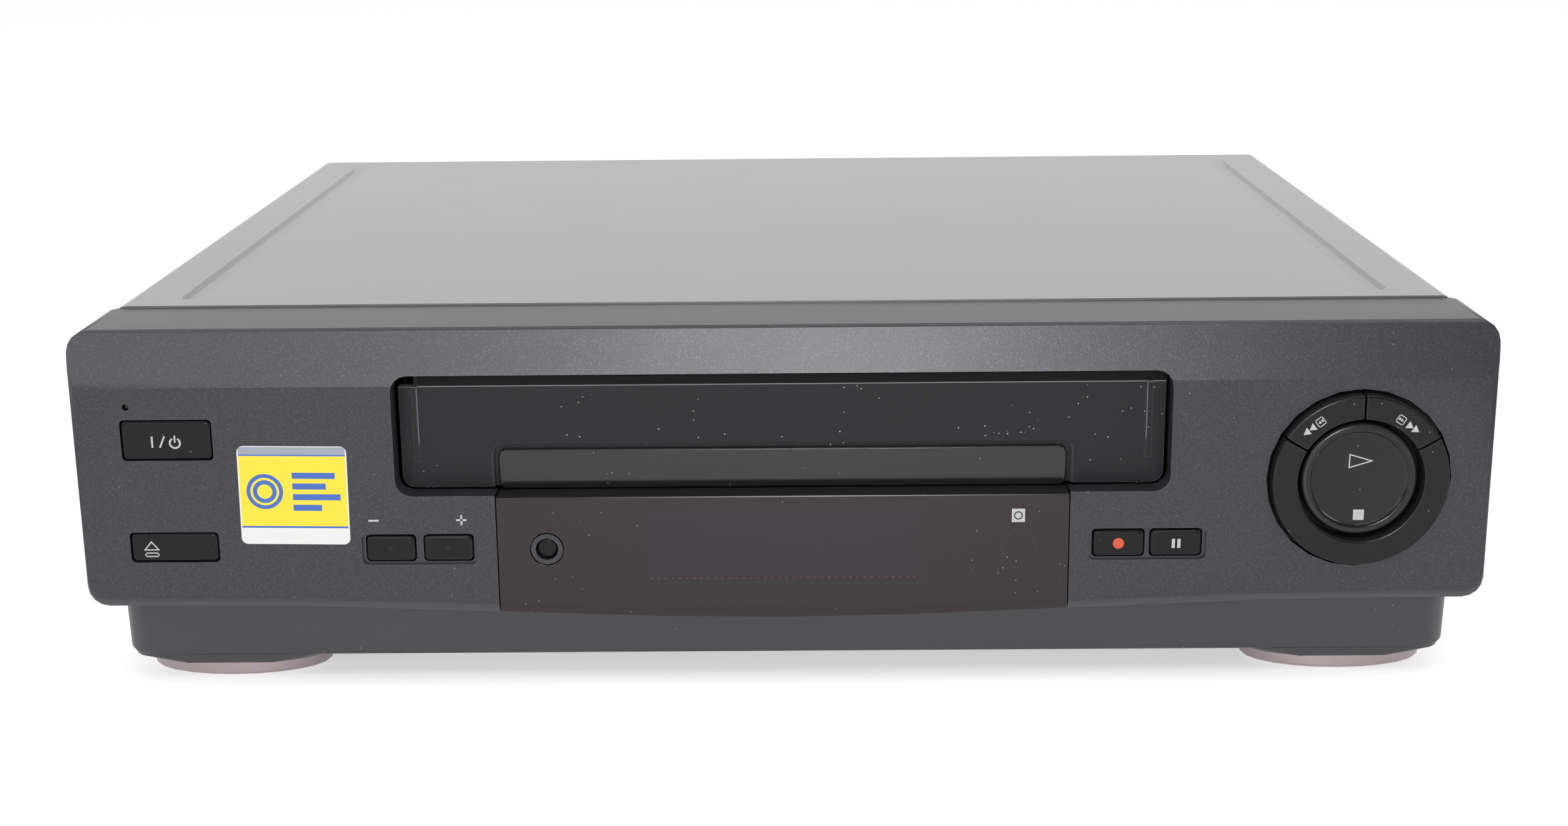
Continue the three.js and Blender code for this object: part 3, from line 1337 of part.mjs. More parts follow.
const pinchRest = (() => {
  const away = capstan.radius + pinch.roller + pinch.touch;
  const engagedX = capstan.x + away * Math.cos(pinch.engageAngle * degree) - pinch.x;
  const engagedY = capstan.y + away * Math.sin(pinch.engageAngle * degree) - pinch.y;
  const rest = new Vector2(engagedX, engagedY).rotateAround(new Vector2(), pinch.swing * degree);
  return { x: pinch.x + rest.x, y: pinch.y + rest.y };
})();

const pinionPlace = (() => {
  const apart = gear.module * (gear.camTeeth + gear.pinionTeeth) / 2 + gear.mesh;
  return {
    x: cam.x + apart * Math.cos(gear.axisAngle * degree),
    y: cam.y + apart * Math.sin(gear.axisAngle * degree),
    turn: gear.axisAngle * degree + Math.PI + Math.PI / gear.pinionTeeth
  };
})();

function guideSlot(side) {
  const centre = trackCentre(side);
  const angles = [trackAngle(side, 0), trackAngle(side, 1)].sort((a, b) => a - b);
  const reach = (guide.keelLength / 2 + 2 * fit.slide) / guide.trackRadius / degree;
  const slot = sector(
    centre.x, centre.y, guide.trackRadius - guide.slotHalf, guide.trackRadius + guide.slotHalf,
    angles[0] - reach, angles[1] + reach
  );
  return prism('z', slot, deck.low - panel.bite, deckTop + panel.bite, sides.small);
}

function deckPlate() {
  const { half, front, back, low, corner } = deck;
  const from = low - panel.bite;
  const to = deckTop + panel.bite;
  const upright = (x, y, radius, top) => rod('z', x, y, radius, low, top, sides.small);
  const added = [
    ...supports.map(({ x, y }) => upright(x, y, deck.supportRadius, deck.supportTop)),
    ...bothSides.map((side) => upright(side * reel.x, reel.y, reel.axle, reel.hubHigh)),
    upright(capstan.x, capstan.y, capstan.sleeve, capstan.sleeveTop),
    upright(pinch.x, pinch.y, pinch.pivot, pinch.pivotTop),
    upright(tension.x, tension.y, tension.pivot, tension.postTop),
    upright(cam.x, cam.y, gear.axle, gear.camHigh + fit.seat)
  ];
  const cuts = [
    ...bothSides.map(guideSlot),
    rod('z', capstan.x, capstan.y, capstan.radius + fit.run, from, capstan.sleeveTop + panel.bite),
    rod('z', 0, idler.y, idler.shaft + fit.run, from, to)
  ];
  return prism('z', roundRect(-half, front, half, back, corner), low, deckTop)
    .add(joined(added)).subtract(joined(cuts));
}

function sideBracket(side) {
  const { inner, sheet, low, high, front, back, slotHeight } = bracket;
  const [x0, x1] = span(side, inner, inner + sheet);
  const [f0, f1] = span(side, inner, inner + bracket.foot);
  const reach = slider.guide + fit.slide;
  const slot = roundRect(
    slider.guideAt[0] - reach, slotHeight - reach, slider.guideAt[1] + holder.travel + reach,
    slotHeight + reach, reach - fit.film
  );
  const [w0, w1] = span(side, inner - panel.bite, inner + sheet + panel.bite);
  const { windowLow, windowHigh, windowLength, windowCorner } = bracket;
  const openings = bracket.windowFrom.map((from) => (
    prism('x', roundRect(from, windowLow, from + windowLength, windowHigh, windowCorner), w0, w1)
  ));
  return joined([
    box(x0, x1, front, back, low, high),
    box(f0, f1, deck.front + deck.corner, back, low, low + sheet)
  ]).subtract(joined([prism('x', slot, w0, w1, sides.slot), ...openings]));
}

function liftSlider() {
  const { inner, sheet, low, high, front, back, guideEnd } = slider;
  const outer = inner + sheet;
  const pinReach = holder.pin + fit.slide;
  const plates = bothSides.map((side) => {
    const [x0, x1] = span(side, inner, outer);
    const [w0, w1] = span(side, inner - panel.bite, outer + panel.bite);
    const [g0, g1] = span(side, inner, guideEnd);
    const slots = holder.pinAt.map((y) => prism('x', roundRect(
      y - pinReach, holder.pinHeight - holder.drop - pinReach, y + pinReach, holder.pinHeight + pinReach,
      pinReach - fit.film
    ), w0, w1, sides.slot));
    const guides = slider.guideAt.map((y) => (
      rod('x', y, bracket.slotHeight, slider.guide, g0, g1, sides.tiny)
    ));
    return box(x0, x1, front, back, low, high).subtract(joined(slots)).add(joined(guides));
  });
  return joined([...plates, box(-outer, outer, slider.strapFront, slider.strapBack, high - sheet, high)]);
}

function cassetteHolder() {
  const { low, sheet, wallInner, ledge, front, wallFront, back, top, pin, pinHeight, stopHeight } = holder;
  const outer = wallInner + sheet;
  const perSide = bothSides.flatMap((side) => {
    const [l0, l1] = span(side, wallInner - ledge, outer);
    const [w0, w1] = span(side, wallInner, outer);
    const [s0, s1] = span(side, wallInner - ledge, outer);
    const [p0, p1] = span(side, wallInner, slider.pinEnd);
    return [
      prism('z', roundRect(l0, front, l1, back, sheet), low, low + sheet),
      box(w0, w1, wallFront, back, low, top + sheet),
      box(s0, s1, back - sheet, back, low, low + sheet + stopHeight),
      ...holder.pinAt.map((y) => rod('x', y, pinHeight, pin, p0, p1, sides.tiny))
    ];
  });
  const roof = box(-outer, outer, wallFront, back, top, top + sheet);
  const tongues = bothSides.map((side) => {
    const [x0, x1] = span(side, holder.tongueX - holder.tongueHalf, holder.tongueX + holder.tongueHalf);
    const { tongueFrom, tongueTo, tongueCut } = holder;
    const tongue = box(
      x0 + tongueCut, x1 - tongueCut, tongueFrom - panel.bite, tongueTo - tongueCut, 0, body.height
    );
    return box(x0, x1, tongueFrom, tongueTo, top - panel.bite, top + sheet + panel.bite).subtract(tongue);
  });
  return joined([...perSide, roof]).subtract(joined(tongues));
}

// Head drum. Its own axis leans, so the lower half is turned with the upper one's angle.
function drumBase() {
  const { radius, lowHeight, ledge, ledgeDrop, shaft, shaftDeep, edge, seatRadius, seatLow, seatHigh } = drum;
  const bore = shaft + fit.run;
  const profile = [
    [0, -lowHeight], [radius - edge, -lowHeight], [radius, -lowHeight + edge], [radius, -ledgeDrop - ledge],
    [radius - ledge, -ledgeDrop], [radius - ledge, 0], [bore, 0], [bore, -shaftDeep - fit.slide],
    [0, -shaftDeep - fit.slide]
  ];
  const geometry = new THREE.LatheGeometry(profile.map(([r, h]) => new Vector2(r, h)), sides.large);
  geometry.rotateX(Math.PI / 2 + drum.tilt * degree);
  geometry.translate(drum.x, drum.y, drum.middle);
  return solidOf(geometry).add(rod('z', drum.x, drum.y, seatRadius, seatLow, seatHigh, sides.small));
}

function drumRotor() {
  const { radius, upHeight, gap, shaft, shaftDeep, cap, capHeight, edge, ledge } = drum;
  const upper = turnedUp([
    [0, -shaftDeep], [shaft, -shaftDeep], [shaft, gap], [radius - ledge, gap],
    [radius - ledge, upHeight - edge], [radius - ledge - edge, upHeight], [cap, upHeight],
    [cap, upHeight + capHeight], [0, upHeight + capHeight]
  ], 0, 0, sides.large);
  const notches = bothSides.map((side) => {
    const [x0, x1] = span(side, radius - ledge - drum.notchDeep, radius + panel.bite);
    return box(x0, x1, -drum.notch / 2, drum.notch / 2, 0, gap + drum.notchHeight);
  });
  return upper.subtract(joined(notches));
}

function capstanSolid() {
  const { radius, top, rotor, rotorLow, rotorHigh, pulley, pulleyHigh } = capstan;
  const groove = pulley - belt.thick / 2;
  return turnedUp([
    [0, rotorLow], [rotor, rotorLow], [rotor, rotorHigh], [pulley, rotorHigh], [pulley, belt.pulleyLow],
    [groove, belt.low], [groove, belt.high], [pulley, pulleyHigh - fit.film], [radius, pulleyHigh],
    [radius, top - edgeShares.quarter * radius], [radius / 2, top], [0, top]
  ], 0, 0);
}

function capstanMotor() {
  const { x, y } = capstan;
  const { outer, low, thick, plug } = stator;
  return joined([
    rod('z', x, y, outer, low, low + thick, sides.medium),
    box(x - outer - plug, x - outer + plug / 2, y - plug, y + plug, low, low + thick + plug)
  ]);
}

function pinchArm() {
  const { x, y, armLow, armHigh, armWidth, eye, pivot, shaft, shaftTop, rollerLow, collar } = pinch;
  return joined([
    bar(x, y, pinchRest.x, pinchRest.y, armWidth, armLow, armHigh),
    rod('z', x, y, eye, armLow, armHigh),
    rod('z', pinchRest.x, pinchRest.y, shaft, armHigh - panel.bite, shaftTop, sides.small),
    rod('z', pinchRest.x, pinchRest.y, collar, armHigh - panel.bite, rollerLow - fit.seat, sides.small)
  ]).subtract(rod('z', x, y, pivot + fit.run, 0, shaftTop));
}

function pinchRoller() {
  const { roller, rollerLow, rollerHigh, bore } = pinch;
  return turnedUp([
    [bore, rollerLow], [roller, rollerLow], [roller, rollerHigh], [bore, rollerHigh], [bore, rollerLow]
  ], 0, 0, sides.medium);
}

// Reels and their drive

function reelSolid() {
  const { table, low, rimHigh, tableHigh, hub, hubHigh, spindle, spindleHigh, tipHigh } = reel;
  const { keyWidth, keyProud, axle, keys, chamfer } = reel;
  const bore = axle + fit.run;
  const turnedPart = turnedUp([
    [bore, low], [table, low], [table, rimHigh], [table - chamfer, tableHigh], [hub, tableHigh],
    [hub, hubHigh], [spindle, hubHigh], [spindle, tipHigh],
    [spindle - chamfer, spindleHigh], [0, spindleHigh],
    [0, hubHigh + 2 * chamfer], [bore, hubHigh + chamfer], [bore, low]
  ], 0, 0, sides.medium);
  const vanes = Array.from({ length: keys }, (_, i) => {
    const angle = 2 * Math.PI * i / keys;
    const out = new Vector2(Math.cos(angle), Math.sin(angle));
    const across = new Vector2(-out.y, out.x).multiplyScalar(keyWidth / 2);
    const corners = [[0, 1], [1, 1], [1, -1], [0, -1]].map(([far, turn]) => {
      const reach = far * (spindle + keyProud);
      return [out.x * reach + turn * across.x, out.y * reach + turn * across.y];
    });
    return prism('z', polygon(corners), hubHigh + chamfer * 2 + fit.film, tipHigh - chamfer);
  });
  return joined([turnedPart, ...vanes]);
}

function centerPulley() {
  const { pulley, wheelLow, wheelHigh, shaft, axle, axleTop } = idler;
  const { pulleyLow, pulleyHigh, low, high, thick } = belt;
  const groove = pulley - thick / 2;
  return turnedUp([
    [0, pulleyLow], [pulley, pulleyLow], [groove, low], [groove, high], [pulley, pulleyHigh],
    [shaft, pulleyHigh], [shaft, wheelLow], [pulley, wheelLow], [pulley, wheelHigh], [axle, wheelHigh],
    [axle, axleTop], [0, axleTop]
  ], 0, 0, sides.medium);
}

const idlerReach = idler.pulley + idler.wheel + fit.run;

function idlerArm() {
  const { y, armLow, armHigh, armWidth, axle, wheelLow, head, headThick } = idler;
  const headTop = wheelLow - fit.run;
  return joined([
    bar(0, y, 0, y + idlerReach, armWidth, armLow, armHigh),
    rod('z', 0, y + idlerReach, axle, headTop - headThick / 2, armLow + headThick / 2, sides.small),
    rod('z', 0, y + idlerReach, head, headTop - headThick, headTop, sides.small)
  ]).subtract(rod('z', 0, y, axle + fit.run, 0, body.height));
}

function idlerWheel() {
  const { wheel, wheelLow, wheelHigh, axle, rimThick } = idler;
  const bore = axle + fit.run;
  const web = edgeShares.quarter * (wheelHigh - wheelLow);
  return turnedUp([
    [bore, wheelLow], [wheel, wheelLow], [wheel, wheelHigh], [wheel - rimThick, wheelHigh],
    [wheel - rimThick, wheelHigh - web], [bore, wheelHigh - web], [bore, wheelLow]
  ], 0, 0, sides.medium);
}

// The flat belt's loop runs round both pulleys, with their grooves' radii and a small gap.
function beltLoop(grow) {
  const from = new Vector2(capstan.x, capstan.y);
  const to = new Vector2(0, idler.y);
  const small = capstan.pulley - belt.thick / 2 + belt.gap + grow;
  const large = idler.pulley - belt.thick / 2 + belt.gap + grow;
  const heading = to.clone().sub(from);
  const slope = Math.atan2(heading.y, heading.x);
  const spread = Math.acos((large - small) / heading.length());
  const back = Math.PI - spread;
  const shape = new THREE.Shape();
  shape.absarc(from.x, from.y, small, slope + back, slope - back, false);
  shape.absarc(to.x, to.y, large, slope - back, slope + back, false);
  return shape;
}

function driveBelt() {
  return prism('z', beltLoop(belt.thick), belt.low + fit.film, belt.high - fit.film, sides.small)
    .subtract(prism('z', beltLoop(0), 0, body.height, sides.small));
}

// Tape guides and arms

// A carriage with its keel in the slot, its roller post and its slanted post, all at the start of its track
function tapeGuide(side) {
  const { x, y, angle } = onTrack(side, 0);
  const out = new Vector2(Math.cos(angle), Math.sin(angle));
  const along = new Vector2(-out.y, out.x);
  const at = (radial, tangent) => (
    [x + out.x * radial + along.x * tangent, y + out.y * radial + along.y * tangent]
  );
  const block = (halfRadial, halfTangent, low, high) => prism('z', polygon([
    at(-halfRadial, -halfTangent), at(halfRadial, -halfTangent),
    at(halfRadial, halfTangent), at(-halfRadial, halfTangent)
  ]), low, high);
  const { baseLow, baseHigh, post, roller, flange, flangeThick, rollerLow, rollerHigh } = guide;
  const { slant, slantAt, slantLean, slantTop } = guide;
  const top = rollerHigh + flangeThick;
  const spool = turnedUp([
    [0, baseHigh - panel.bite], [post, baseHigh - panel.bite], [post, rollerLow - flangeThick],
    [flange, rollerLow - flangeThick], [flange, rollerLow], [roller, rollerLow], [roller, rollerHigh],
    [flange, rollerHigh], [flange, top], [0, top]
  ], x, y, sides.small);
  const [fromX, fromY] = at(0, side * slantAt);
  const [toX, toY] = at(0, side * (slantAt + slantLean));
  const foot = new Vector3(fromX, fromY, baseHigh - panel.bite);
  const path = new THREE.LineCurve3(foot, new Vector3(toX, toY, slantTop));
  const slanted = new THREE.ExtrudeGeometry(circle(0, 0, slant), {
    steps: 1, curveSegments: sides.tiny / 2, extrudePath: path
  });
  return joined([
    block(guide.baseWidth / 2, guide.baseLength / 2, baseLow, baseHigh),
    block(guide.keelHalf, guide.keelLength / 2, guide.keelLow, baseLow + panel.bite),
    spool, solidOf(slanted)
  ]);
}

function tensionArm() {
  const { x, y, tail, armLow, armHigh, armWidth, pin, pinHigh, pivot, eye } = tension;
  const away = new Vector2(x - tensionPin.x, y - tensionPin.y).setLength(tail);
  return joined([
    bar(tensionPin.x, tensionPin.y, x + away.x, y + away.y, armWidth, armLow, armHigh),
    rod('z', x, y, eye, armLow, armHigh),
    rod('z', tensionPin.x, tensionPin.y, pin, armHigh - panel.bite, pinHigh, sides.small)
  ]).subtract(rod('z', x, y, pivot + fit.run, 0, pinHigh));
}

function armSpringSolid() {
  return wireSolid('tension_spring', coilPath(armSpring), armSpring);
}

function tapeHead(head) {
  const { width, depth, low, high, plate, face } = head;
  const shape = new THREE.Shape();
  shape.moveTo(-width / 2, -depth / 2);
  shape.quadraticCurveTo(0, -depth / 2 - 2 * face, width / 2, -depth / 2);
  shape.lineTo(width / 2, depth / 2);
  shape.lineTo(-width / 2, depth / 2);
  return joined([
    box(-plate / 2, plate / 2, -plate / 2, plate / 2, headMount.low, headMount.low + headMount.plateThick),
    rod('z', 0, 0, headMount.post, headMount.low, low + panel.bite, sides.small),
    prism('z', shape, low, high, sides.tiny)
  ]);
}

function placedHead(head) {
  return [tapeHead(head), 'steel', [head.x, head.y, 0], [0, 0, head.turn * degree]];
}

// Loading gears and motor

function gearShape(teeth) {
  const pitchRadius = gear.module * teeth / 2;
  const rootRadius = pitchRadius - gear.dedendumShare * gear.module;
  const tipRadius = pitchRadius + gear.addendumShare * gear.module;
  const step = 2 * Math.PI / teeth;
  const points = [];
  for (let i = 0; i < teeth; i += 1) {
    const middle = i * step;
    const corner = (radius, share) => [
      radius * Math.cos(middle + share * step / 2), radius * Math.sin(middle + share * step / 2)
    ];
    points.push(
      corner(rootRadius, -gear.rootShare), corner(tipRadius, -gear.tipShare),
      corner(tipRadius, gear.tipShare), corner(rootRadius, gear.rootShare)
    );
  }
  return polygon(points);
}

function camGear() {
  const { low, thick, camHub, camHigh, axle, holes, hole, holeAt } = gear;
  const rounds = Array.from({ length: holes }, (_, i) => {
    const angle = (i + 0.5) * 2 * Math.PI / holes;
    return rod('z', holeAt * Math.cos(angle), holeAt * Math.sin(angle), hole, 0, body.height, sides.tiny);
  });
  return joined([
    prism('z', gearShape(gear.camTeeth), low, low + thick),
    rod('z', 0, 0, camHub, deckTop + fit.seat, camHigh, sides.tiny)
  ]).subtract(joined([rod('z', 0, 0, axle + fit.run, 0, body.height), ...rounds]));
}

function loadingPinion() {
  return prism('z', gearShape(gear.pinionTeeth), gear.pinionLow, gear.pinionHigh)
    .add(rod('z', 0, 0, loader.shaft, gear.pinionHigh - panel.bite, loader.shaftTop, sides.tiny));
}

function loadingMotor() {
  const { radius, low, height, legThick, legWidth, legAt, cap, capHeight } = loader;
  const top = low + height;
  return joined([
    rod('z', 0, 0, radius, low, top, sides.medium),
    rod('z', 0, 0, cap, top - panel.bite, top + capHeight, sides.small),
    box(-legWidth / 2, legWidth / 2, legAt, legAt + legThick, deckTop + fit.seat, low + legThick),
    box(-legWidth / 2, legWidth / 2, 0, legAt + legThick, low, low + legThick)
  ]).subtract(rod(
    'z', 0, 0, loader.shaft + fit.run, low - panel.bite, loader.shaftTop + fit.run, sides.small
  ));
}

// The recorder, with the middle of its footprint on the origin

const recorder = new THREE.Group();
recorder.position.y = -(body.depth - dial.proud) / 2;
const add = (...rest) => addPiece(recorder, ...rest);

add('front_panel', frontPanel(), 'panelPlastic');
add('top_cover', topCover(), 'cover');
add('chassis_base', chassisBase(), 'base');
add('foot_front_left', frontFoot(), 'footRing', [-footX, foot.y, 0]);
add('foot_front_right', frontFoot(), 'footRing', [footX, foot.y, 0]);
add('foot_rear_left', rearFootSolid(), 'rubber', [-footX, rearFootY, 0]);
add('foot_rear_right', rearFootSolid(), 'rubber', [footX, rearFootY, 0]);
add('cassette_door', cassetteDoor(), 'doorPlastic');
add('door_insert', doorInsert(), 'gloss');
add('door_spring', doorSpringSolid(), 'steel');
add('display_window', displayWindow(), 'smoke');
add('power_button', pushButton(powerHole, 0, middleOf(powerHole)), 'key');
add('eject_button', pushButton(ejectHole, 0, middleOf(ejectHole)), 'key');
add('program_down_button', nibbedButton(programHoles[0]), 'key');
add('program_up_button', nibbedButton(programHoles[1]), 'key');
add('record_button', pushButton(recordHoles[0], 0, middleOf(recordHoles[0])), 'key');
add('pause_button', pushButton(recordHoles[1], 0, middleOf(recordHoles[1])), 'key');
add('setup_button', setupButton(), 'key');
add('rewind_key', dialKey(keyMiddles.rewind, keyAngles.middle, keyAngles.high), 'key');
add('fast_forward_key', dialKey(keyMiddles.forward, keyAngles.low, keyAngles.middle), 'key');
add('transport_ring', transportRing(), 'key');
add('play_stop_rocker', playStopRocker(), 'key');
add('front_sticker', frontSticker(), 'label', [sticker.x, 0, sticker.z], [0, sticker.turn * degree, 0]);
add('ir_receiver', infraredReceiver(), 'black');
add('display_tube', displayTube(), 'glass');
add('front_board', frontBoardSolid(), 'boardTan');
add('main_board', mainBoard(), 'boardGreen');
add('power_board', powerBoard(), 'boardTan');
add('transformer', transformerSolid(), 'darkSteel');
add('tuner_module', tunerModule(), 'zinc');
add('scart_sockets', scartSockets(), 'black');
add('mains_inlet', mainsInlet(), 'black');
add('rear_panel', rearPanel(), 'zinc');
add('deck_plate', deckPlate(), 'zinc');
add('side_bracket_left', sideBracket(-1), 'zinc');
add('side_bracket_right', sideBracket(1), 'zinc');
add('lift_slider', liftSlider(), 'zinc');
add('cassette_holder', cassetteHolder(), 'darkSteel');
add('drum_base', drumBase(), 'aluminium');
add('drum_rotor', drumRotor(), 'aluminium', [drum.x, drum.y, drum.middle], [drum.tilt * degree, 0, 0]);
add('capstan', capstanSolid(), 'steel', [capstan.x, capstan.y, 0]);
add('capstan_motor', capstanMotor(), 'boardGreen');
add('pinch_arm', pinchArm(), 'zinc');
add('pinch_roller', pinchRoller(), 'rubber', [pinchRest.x, pinchRest.y, 0]);
add('supply_reel', reelSolid(), 'white', [-reel.x, reel.y, 0]);
add('takeup_reel', reelSolid(), 'white', [reel.x, reel.y, 0]);
add('center_pulley', centerPulley(), 'black', [0, idler.y, 0]);
add('idler_arm', idlerArm(), 'zinc');
add('idler_wheel', idlerWheel(), 'rubber', [0, idler.y + idlerReach, 0]);
add('drive_belt', driveBelt(), 'rubber');
add('supply_guide', tapeGuide(-1), 'steel');
add('takeup_guide', tapeGuide(1), 'steel');
add('tension_arm', tensionArm(), 'zinc');
add('tension_spring', armSpringSolid(), 'steel', [tension.x, tension.y, 0]);
add('audio_head', ...placedHead(audioHead));
add('erase_head', ...placedHead(eraseHead));
add('cam_gear', camGear(), 'cream', [cam.x, cam.y, 0]);
add('loading_pinion', loadingPinion(), 'cream', [pinionPlace.x, pinionPlace.y, 0], [0, 0, pinionPlace.turn]);
add('loading_motor', loadingMotor(), 'steel', [pinionPlace.x, pinionPlace.y, 0]);

export default recorder;
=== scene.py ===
import json
import math

import bpy
from mathutils import Matrix, Vector


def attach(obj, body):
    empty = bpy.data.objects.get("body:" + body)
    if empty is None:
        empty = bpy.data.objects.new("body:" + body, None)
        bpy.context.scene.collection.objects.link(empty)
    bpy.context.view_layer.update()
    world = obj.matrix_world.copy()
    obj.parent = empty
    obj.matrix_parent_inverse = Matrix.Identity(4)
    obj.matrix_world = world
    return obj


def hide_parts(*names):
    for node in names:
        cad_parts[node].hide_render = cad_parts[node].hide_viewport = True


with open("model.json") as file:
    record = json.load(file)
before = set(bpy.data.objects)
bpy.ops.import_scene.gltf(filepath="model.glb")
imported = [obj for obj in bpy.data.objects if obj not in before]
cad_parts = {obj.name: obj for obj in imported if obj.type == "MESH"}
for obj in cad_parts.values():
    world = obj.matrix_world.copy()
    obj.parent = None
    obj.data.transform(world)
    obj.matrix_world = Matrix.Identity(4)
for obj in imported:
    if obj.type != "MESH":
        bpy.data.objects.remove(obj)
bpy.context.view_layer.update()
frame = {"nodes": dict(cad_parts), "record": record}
scene = bpy.context.scene
scene.view_settings.view_transform = "Standard"

# Viewpoint
# A person's view from a little above the recorder, straight on its face, from two thirds of a
# metre before its middle, with a normal lens.
lens = bpy.data.cameras.new("front_view")
lens.lens = 50.0
lens.sensor_width = 36.0
lens.clip_start = 0.01
eye = bpy.data.objects.new("front_view", lens)
scene.collection.objects.link(eye)
eye.location = (0.0066, -0.6635, 0.2122)
eye.rotation_euler = (math.radians(75.0792), math.radians(0.5894), math.radians(0.4929))
scene.camera = eye

# Table and soft light
# A plain white table top that runs back out of sight, a wide soft lamp overhead, a small and a
# long one behind the viewer that the leaning band mirrors, and one at each side, in a white room.
bpy.ops.object.select_all(action="DESELECT")
table_size, table_middle = 14.0, 3.0
bpy.ops.mesh.primitive_plane_add(size=table_size, location=(0.0, table_middle, 0.0))
table_top = bpy.context.active_object
table_top.name = "table_top"
bpy.ops.object.transform_apply(location=True, rotation=True, scale=True)
table_look = bpy.data.materials.new("table_white")
table_look.use_nodes = True
table_nodes = table_look.node_tree.nodes
table_links = table_look.node_tree.links
table_shader = table_nodes["Principled BSDF"]
table_shader.inputs["Base Color"].default_value = (0.86, 0.86, 0.86, 1.0)
table_shader.inputs["Roughness"].default_value = 0.6
table_shader.inputs["Emission Color"].default_value = (1.0, 1.0, 1.0, 1.0)
table_point = table_nodes.new("ShaderNodeTexCoord")
table_grain = table_nodes.new("ShaderNodeTexNoise")
table_grain.inputs["Scale"].default_value = 220.0
table_bump = table_nodes.new("ShaderNodeBump")
table_bump.inputs["Strength"].default_value = 0.05
table_bump.inputs["Distance"].default_value = 0.001
table_links.new(table_point.outputs["Object"], table_grain.inputs["Vector"])
table_links.new(table_grain.outputs["Fac"], table_bump.inputs["Height"])
table_links.new(table_bump.outputs["Normal"], table_shader.inputs["Normal"])


def seen_rays(nodes, links):
    rays = nodes.new("ShaderNodeLightPath")
    seen = rays.outputs["Is Camera Ray"]
    for kind in ("Is Glossy Ray", "Is Transmission Ray"):
        either = nodes.new("ShaderNodeMath")
        either.operation = "MAXIMUM"
        links.new(seen, either.inputs[0])
        links.new(rays.outputs[kind], either.inputs[1])
        seen = either.outputs["Value"]
    return seen


table_glow = table_nodes.new("ShaderNodeMath")
table_glow.operation = "MULTIPLY"
table_glow.inputs[1].default_value = 0.46
table_links.new(seen_rays(table_nodes, table_links), table_glow.inputs[0])
table_links.new(table_glow.outputs["Value"], table_shader.inputs["Emission Strength"])
table_top.data.materials.append(table_look)

room = bpy.data.worlds.new("white_room")
scene.world = room
room.use_nodes = True
room_nodes = room.node_tree.nodes
room_links = room.node_tree.links
room_nodes.clear()
room_seen = room_nodes.new("ShaderNodeBackground")
room_seen.inputs["Color"].default_value = (1.0, 1.0, 1.0, 1.0)
room_fill = room_nodes.new("ShaderNodeBackground")
room_fill.inputs["Color"].default_value = (1.0, 1.0, 1.0, 1.0)
room_fill.inputs["Strength"].default_value = 0.5
room_place = room_nodes.new("ShaderNodeTexCoord")
room_axes = room_nodes.new("ShaderNodeSeparateXYZ")
room_side = room_nodes.new("ShaderNodeMapRange")
room_side.interpolation_type = "SMOOTHSTEP"
room_side.inputs["From Min"].default_value = -0.75
room_side.inputs["From Max"].default_value = 0.15
room_side.inputs["To Min"].default_value = 0.25
room_side.inputs["To Max"].default_value = 1.0
room_mix = room_nodes.new("ShaderNodeMixShader")
room_out = room_nodes.new("ShaderNodeOutputWorld")
room_links.new(room_place.outputs["Generated"], room_axes.inputs["Vector"])
room_links.new(room_axes.outputs["Y"], room_side.inputs["Value"])
room_links.new(room_side.outputs["Result"], room_seen.inputs["Strength"])
room_links.new(seen_rays(room_nodes, room_links), room_mix.inputs["Fac"])
room_links.new(room_fill.outputs["Background"], room_mix.inputs[1])
room_links.new(room_seen.outputs["Background"], room_mix.inputs[2])
room_links.new(room_mix.outputs["Shader"], room_out.inputs["Surface"])

lamp_target = Vector((0.0, -0.05, 0.05))
for name, place, wide, deep, power in (
    ("lamp_overhead", (0.0, -0.35, 1.3), 1.0, 0.8, 4.0),
    ("lamp_behind_viewer", (0.02, -1.55, 0.46), 0.24, 0.2, 5.2),
    ("lamp_strip", (-0.35, -1.6, 0.47), 1.5, 0.2, 5.6),
    ("lamp_left", (-1.3, -0.5, 0.8), 0.6, 0.6, 3.8),
    ("lamp_right", (1.3, -0.4, 0.8), 0.6, 0.6, 4.6),
):
    lamp = bpy.data.lights.new(name, "AREA")
    lamp.shape = "RECTANGLE"
    lamp.size = wide
    lamp.size_y = deep
    lamp.energy = power
    lamp_holder = bpy.data.objects.new(name, lamp)
    scene.collection.objects.link(lamp_holder)
    lamp_holder.location = place
    aim = lamp_target - Vector(place)
    lamp_holder.rotation_euler = aim.to_track_quat("-Z", "Y").to_euler()

# Front housing
# The moulded charcoal front, of plastic with a fine grain and a metallic fleck. Its upper band
# leans back and catches the light, and the doorway, the dial's cup and the button holes are
# moulded in. Six moulded bosses hold the front board behind it.
moulded_grain = bpy.data.node_groups.new("moulded_grain", "ShaderNodeTree")
for socket, kind in (
    ("Vector", "NodeSocketVector"),
    ("Per Metre", "NodeSocketFloat"),
    ("Strength", "NodeSocketFloat"),
):
    moulded_grain.interface.new_socket(socket, in_out="INPUT", socket_type=kind)
moulded_grain.interface.new_socket("Normal", in_out="OUTPUT", socket_type="NodeSocketVector")
moulded_grain.interface.new_socket("Shade", in_out="OUTPUT", socket_type="NodeSocketFloat")
grain_in = moulded_grain.nodes.new("NodeGroupInput")
grain_out = moulded_grain.nodes.new("NodeGroupOutput")
grain_fine = moulded_grain.nodes.new("ShaderNodeTexNoise")
grain_fine.inputs["Detail"].default_value = 3.0
grain_wide = moulded_grain.nodes.new("ShaderNodeTexNoise")
grain_wide.inputs["Scale"].default_value = 28.0
grain_wide.inputs["Detail"].default_value = 4.0
grain_bump = moulded_grain.nodes.new("ShaderNodeBump")
grain_bump.inputs["Distance"].default_value = 0.0002
